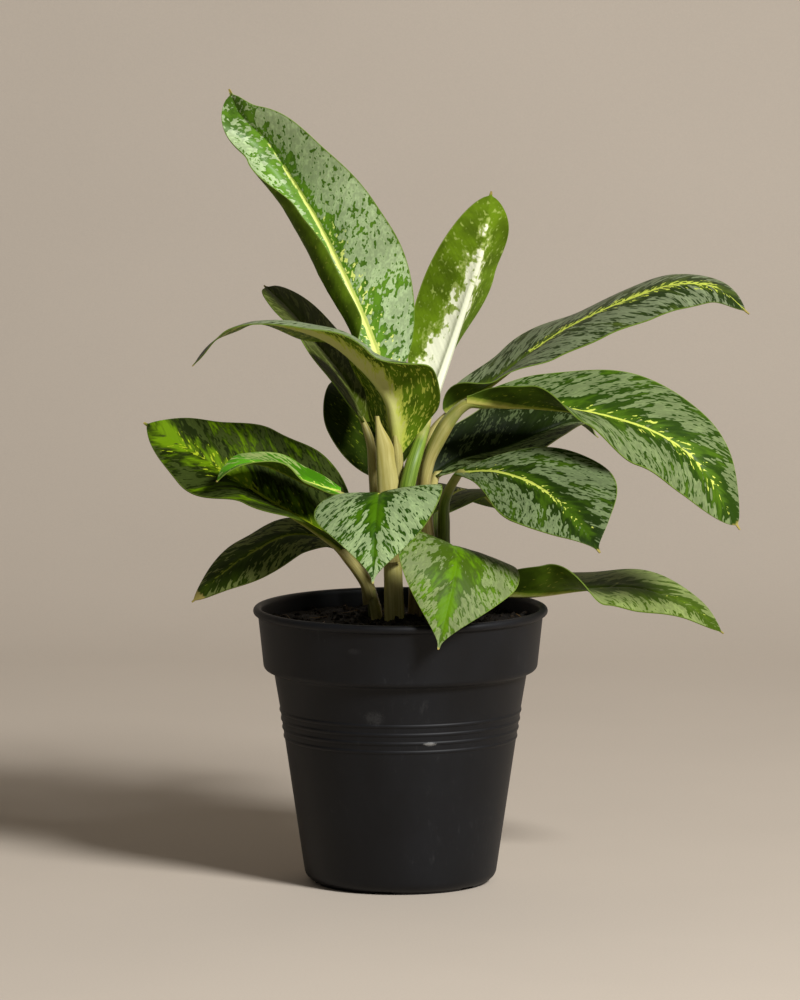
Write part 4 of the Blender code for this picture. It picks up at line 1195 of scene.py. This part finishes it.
def buildSoil(material):
    make = potMake
    gap, wall, low, rings = soilMake["gap"], make["wall"], collarFoot(), soilMake["rings"]
    topRadius = make["collarTop"] - wall - 0.7 - gap
    profile = [(topRadius * ring / rings, soilMake["top"]) for ring in range(rings + 1)]
    profile += [(make["collarLow"] - wall - 0.4 - gap, low + 1.6 + gap)]
    profile += [(bodyRadius(low - 2.0) - wall - gap, low - 2.0 + gap)]
    profile += [(make["bodyLow"] - wall - 0.6 - gap, make["floor"] + 3.0 + gap * 0.5)]
    profile += [(make["foot"] - 1.5 - gap, make["floor"] + gap), (0.0, make["floor"] + gap)]
    bm = spun(profile, soilMake["sides"])
    for vert in bm.verts:
        if vert.co.z > (soilMake["top"] - 0.1) * unit:
            vert.co.z = soilHeight(vert.co.x / unit, vert.co.y / unit) * unit
    return finishPiece("potting_soil_bed", bm, material)


def buildCrumbs(material):
    # loose crumbs of peat on the bed, more of them round the stems
    chance = random.Random(4)
    bm = bmesh.new()
    for crumb in range(soilMake["crumbs"]):
        if crumb % 4 == 0:
            x, y = chance.choice(list(shoots.values()))["place"]
            turn, away = chance.uniform(0.0, math.tau), chance.uniform(2.5, 9.0)
            x, y = x + away * math.cos(turn), y + away * math.sin(turn)
        else:
            turn = chance.uniform(0.0, math.tau)
            away = soilMake["crumbsReach"] * math.sqrt(chance.random())
            x, y = away * math.cos(turn), away * math.sin(turn)
        size = 0.5 + 1.5 * chance.random() ** 3
        place = Vector((x, y, soilHeight(x, y) + size * 0.2))
        turn = chance.uniform(0.0, math.tau)
        spin = Matrix.Rotation(turn, 4, Vector((chance.random(), chance.random(), 1.0)))
        squash = Matrix.Diagonal((1.0, chance.uniform(0.5, 1.0), chance.uniform(0.45, 0.9), 1.0))
        matrix = Matrix.Translation(place * unit) @ spin @ squash
        made = bmesh.ops.create_icosphere(bm, subdivisions=1, radius=size * unit, matrix=matrix)["verts"]
        for vert in made:
            shift = noise.noise_vector(vert.co / unit * 0.9)
            vert.co += shift * size * 0.35 * unit
    return finishPiece("soil_crumbs", bm, material, 80.0)


def buildFibres(material):
    # short brown root and peat fibres that lie on the bed
    chance = random.Random(11)
    bm = bmesh.new()
    layers = {key: bm.verts.layers.float.new(key) for key in stemLayers}
    radii, tints, sides = soilMake["fibreRadii"], soilMake["fibreTints"], soilMake["fibreSides"]
    for fibre in range(soilMake["fibres"]):
        turn = chance.uniform(0.0, math.tau)
        away = soilMake["fibresReach"] * math.sqrt(chance.random())
        x, y = away * math.cos(turn), away * math.sin(turn)
        bend, reach = chance.uniform(0.0, math.tau), chance.uniform(2.0, 5.0)
        points = []
        for step in range(3):
            points.append((x, y, soilHeight(x, y) + chance.uniform(0.2, 1.4)))
            bend += chance.uniform(-0.9, 0.9)
            x, y = x + reach * math.cos(bend), y + reach * math.sin(bend)
        buildTube(bm, layers, points, radii, tints, sides=sides)
    return finishSized("soil_fibres", bm, material)


def soilMaterial(name, light, dark):
    board = Board(name)
    lumps = board.grain(board.stretched(0.5, 0.5, 0.5), 1.0, 5.0, 0.7)
    dots = board.grain(board.stretched(2.4, 2.4, 2.4), 1.0, 3.0)
    skin = board.mix((lumps * 0.6 + dots * 0.4).rise(0.4, 0.66), colour(*dark), colour(*light))
    normal = board.bump(lumps + dots * 0.6, 0.9, 1.0)
    return board.shade(colour=skin, roughness=0.8 + 0.15 * dots, normal=normal, gloss=0.25)


# Metres, degrees and watts
studio = {
    "cloth": (0.555, 0.485, 0.405),
    "clothDark": 0.94,
    "bendSteps": 24,
    "bendStart": 0.62,
    "bendRadius": 0.6,
    "halfWidth": 3.0,
    "front": -2.0,
    "top": 2.8,
    "keyTurn": 40.0,  # degrees to the right of the camera
    "keyRise": 36.0,
    "keyAway": 2.4,
    "keySize": 0.62,
    "keyPower": 78.0,
    "keyAim": (0.0, 0.0, 0.15),
    "air": (1.0, 0.96, 0.9),
    "fill": 0.13,
}
cameraMake = {
    "lens": 265.7,  # millimetres, as the sensor
    "sensor": 36.0,
    "clip": (0.05, 20.0),
    "place": (-0.0002, -2.9776, 0.5221),
    "tilt": 83.0,
}


def buildBackdrop():
    # a plain sheet of fabric that runs over the table and up the wall in one bend
    start, radius, steps = studio["bendStart"], studio["bendRadius"], studio["bendSteps"]
    profile = [(studio["front"], 0.0), (start, 0.0)]
    for step in range(1, steps + 1):
        turn = math.radians(90.0 * step / steps)
        profile.append((start + radius * math.sin(turn), radius * (1.0 - math.cos(turn))))
    profile.append((start + radius, studio["top"]))
    bm = bmesh.new()
    verts = [bm.verts.new((-studio["halfWidth"], y, z)) for y, z in profile]
    edges = [bm.edges.new(pair) for pair in zip(verts, verts[1:])]
    made = bmesh.ops.extrude_edge_only(bm, edges=edges)["geom"]
    far = [item for item in made if isinstance(item, bmesh.types.BMVert)]
    bmesh.ops.translate(bm, vec=(2 * studio["halfWidth"], 0, 0), verts=far)
    bmesh.ops.recalc_face_normals(bm, faces=bm.faces)
    board = Board("backdrop_fabric")
    cloth = board.grain(board.stretched(0.9, 0.9, 0.9), 1.0, 4.0, 0.7)
    stain = board.grain(board.stretched(0.006, 0.006, 0.006), 1.0, 3.0)
    low = [part * studio["clothDark"] for part in studio["cloth"]]
    skin = board.mix((cloth * 0.6 + stain * 0.4).rise(0.3, 0.7), (*studio["cloth"], 1.0), (*low, 1.0))
    material = board.shade(colour=skin, roughness=0.92, normal=board.bump(cloth, 0.15, 0.6), gloss=0.1)
    backdrop = finishPiece("backdrop", bm, material)


def lightStudio():
    turn, lift = math.radians(studio["keyTurn"]), math.radians(studio["keyRise"])
    toward = Vector((math.sin(turn) * math.cos(lift), -math.cos(turn) * math.cos(lift), math.sin(lift)))
    lamp = bpy.data.lights.new("key_light", "AREA")
    lamp.shape = "DISK"
    lamp.size = studio["keySize"]
    lamp.energy = studio["keyPower"]
    key = bpy.data.objects.new("key_light", lamp)
    key.location = Vector(studio["keyAim"]) + toward * studio["keyAway"]
    key.rotation_euler = toward.to_track_quat("Z", "Y").to_euler()
    bpy.context.scene.collection.objects.link(key)
    world = bpy.data.worlds.new("studio_air")
    world.use_nodes = True
    air = world.node_tree.nodes["Background"].inputs
    air["Color"].default_value = (*studio["air"], 1.0)
    air["Strength"].default_value = studio["fill"]
    bpy.context.scene.world = world
    bpy.context.scene.view_settings.view_transform = "Standard"


def placeCamera():
    lens = bpy.data.cameras.new("camera")
    lens.lens = cameraMake["lens"]
    lens.sensor_width = cameraMake["sensor"]
    lens.clip_start, lens.clip_end = cameraMake["clip"]
    camera = bpy.data.objects.new("camera", lens)
    camera.location = cameraMake["place"]
    camera.rotation_euler = (math.radians(cameraMake["tilt"]), 0.0, 0.0)
    bpy.context.scene.collection.objects.link(camera)
    bpy.context.scene.camera = camera


placeCamera()
lightStudio()
buildBackdrop()
print("studio ready")

addToPlant(buildPot(potMaterial()), "black_plastic", "pot")
addToPlant(buildSoil(soilMaterial("peat_bed", (36, 28, 19), (12, 10, 7))), "peat", "potting_soil")
addToPlant(buildCrumbs(soilMaterial("peat_crumbs", (60, 46, 30), (16, 13, 8))), "peat")
print("pot and soil ready")

stemSkin = stemMaterial()
for shootName, shoot in shoots.items():
    addToPlant(buildShoot(shootName, shoot, stemSkin), "cream_stem", shootName)
addToPlant(buildSheath(stemSkin), "cream_stem")
addToPlant(buildFibres(stemSkin), "peat")
print("stems ready")

for order, (leafName, leaf) in enumerate(leaves.items()):
    look = {**plainLeaf, **leafLooks[leafName]}
    skin = leafMaterial(leafName, look, order * 7.3 + 2.0)
    addToPlant(buildBlade(leafName, leaf, look, skin, order * 3.1), "leaf_green", leafName)
print("leaves ready")
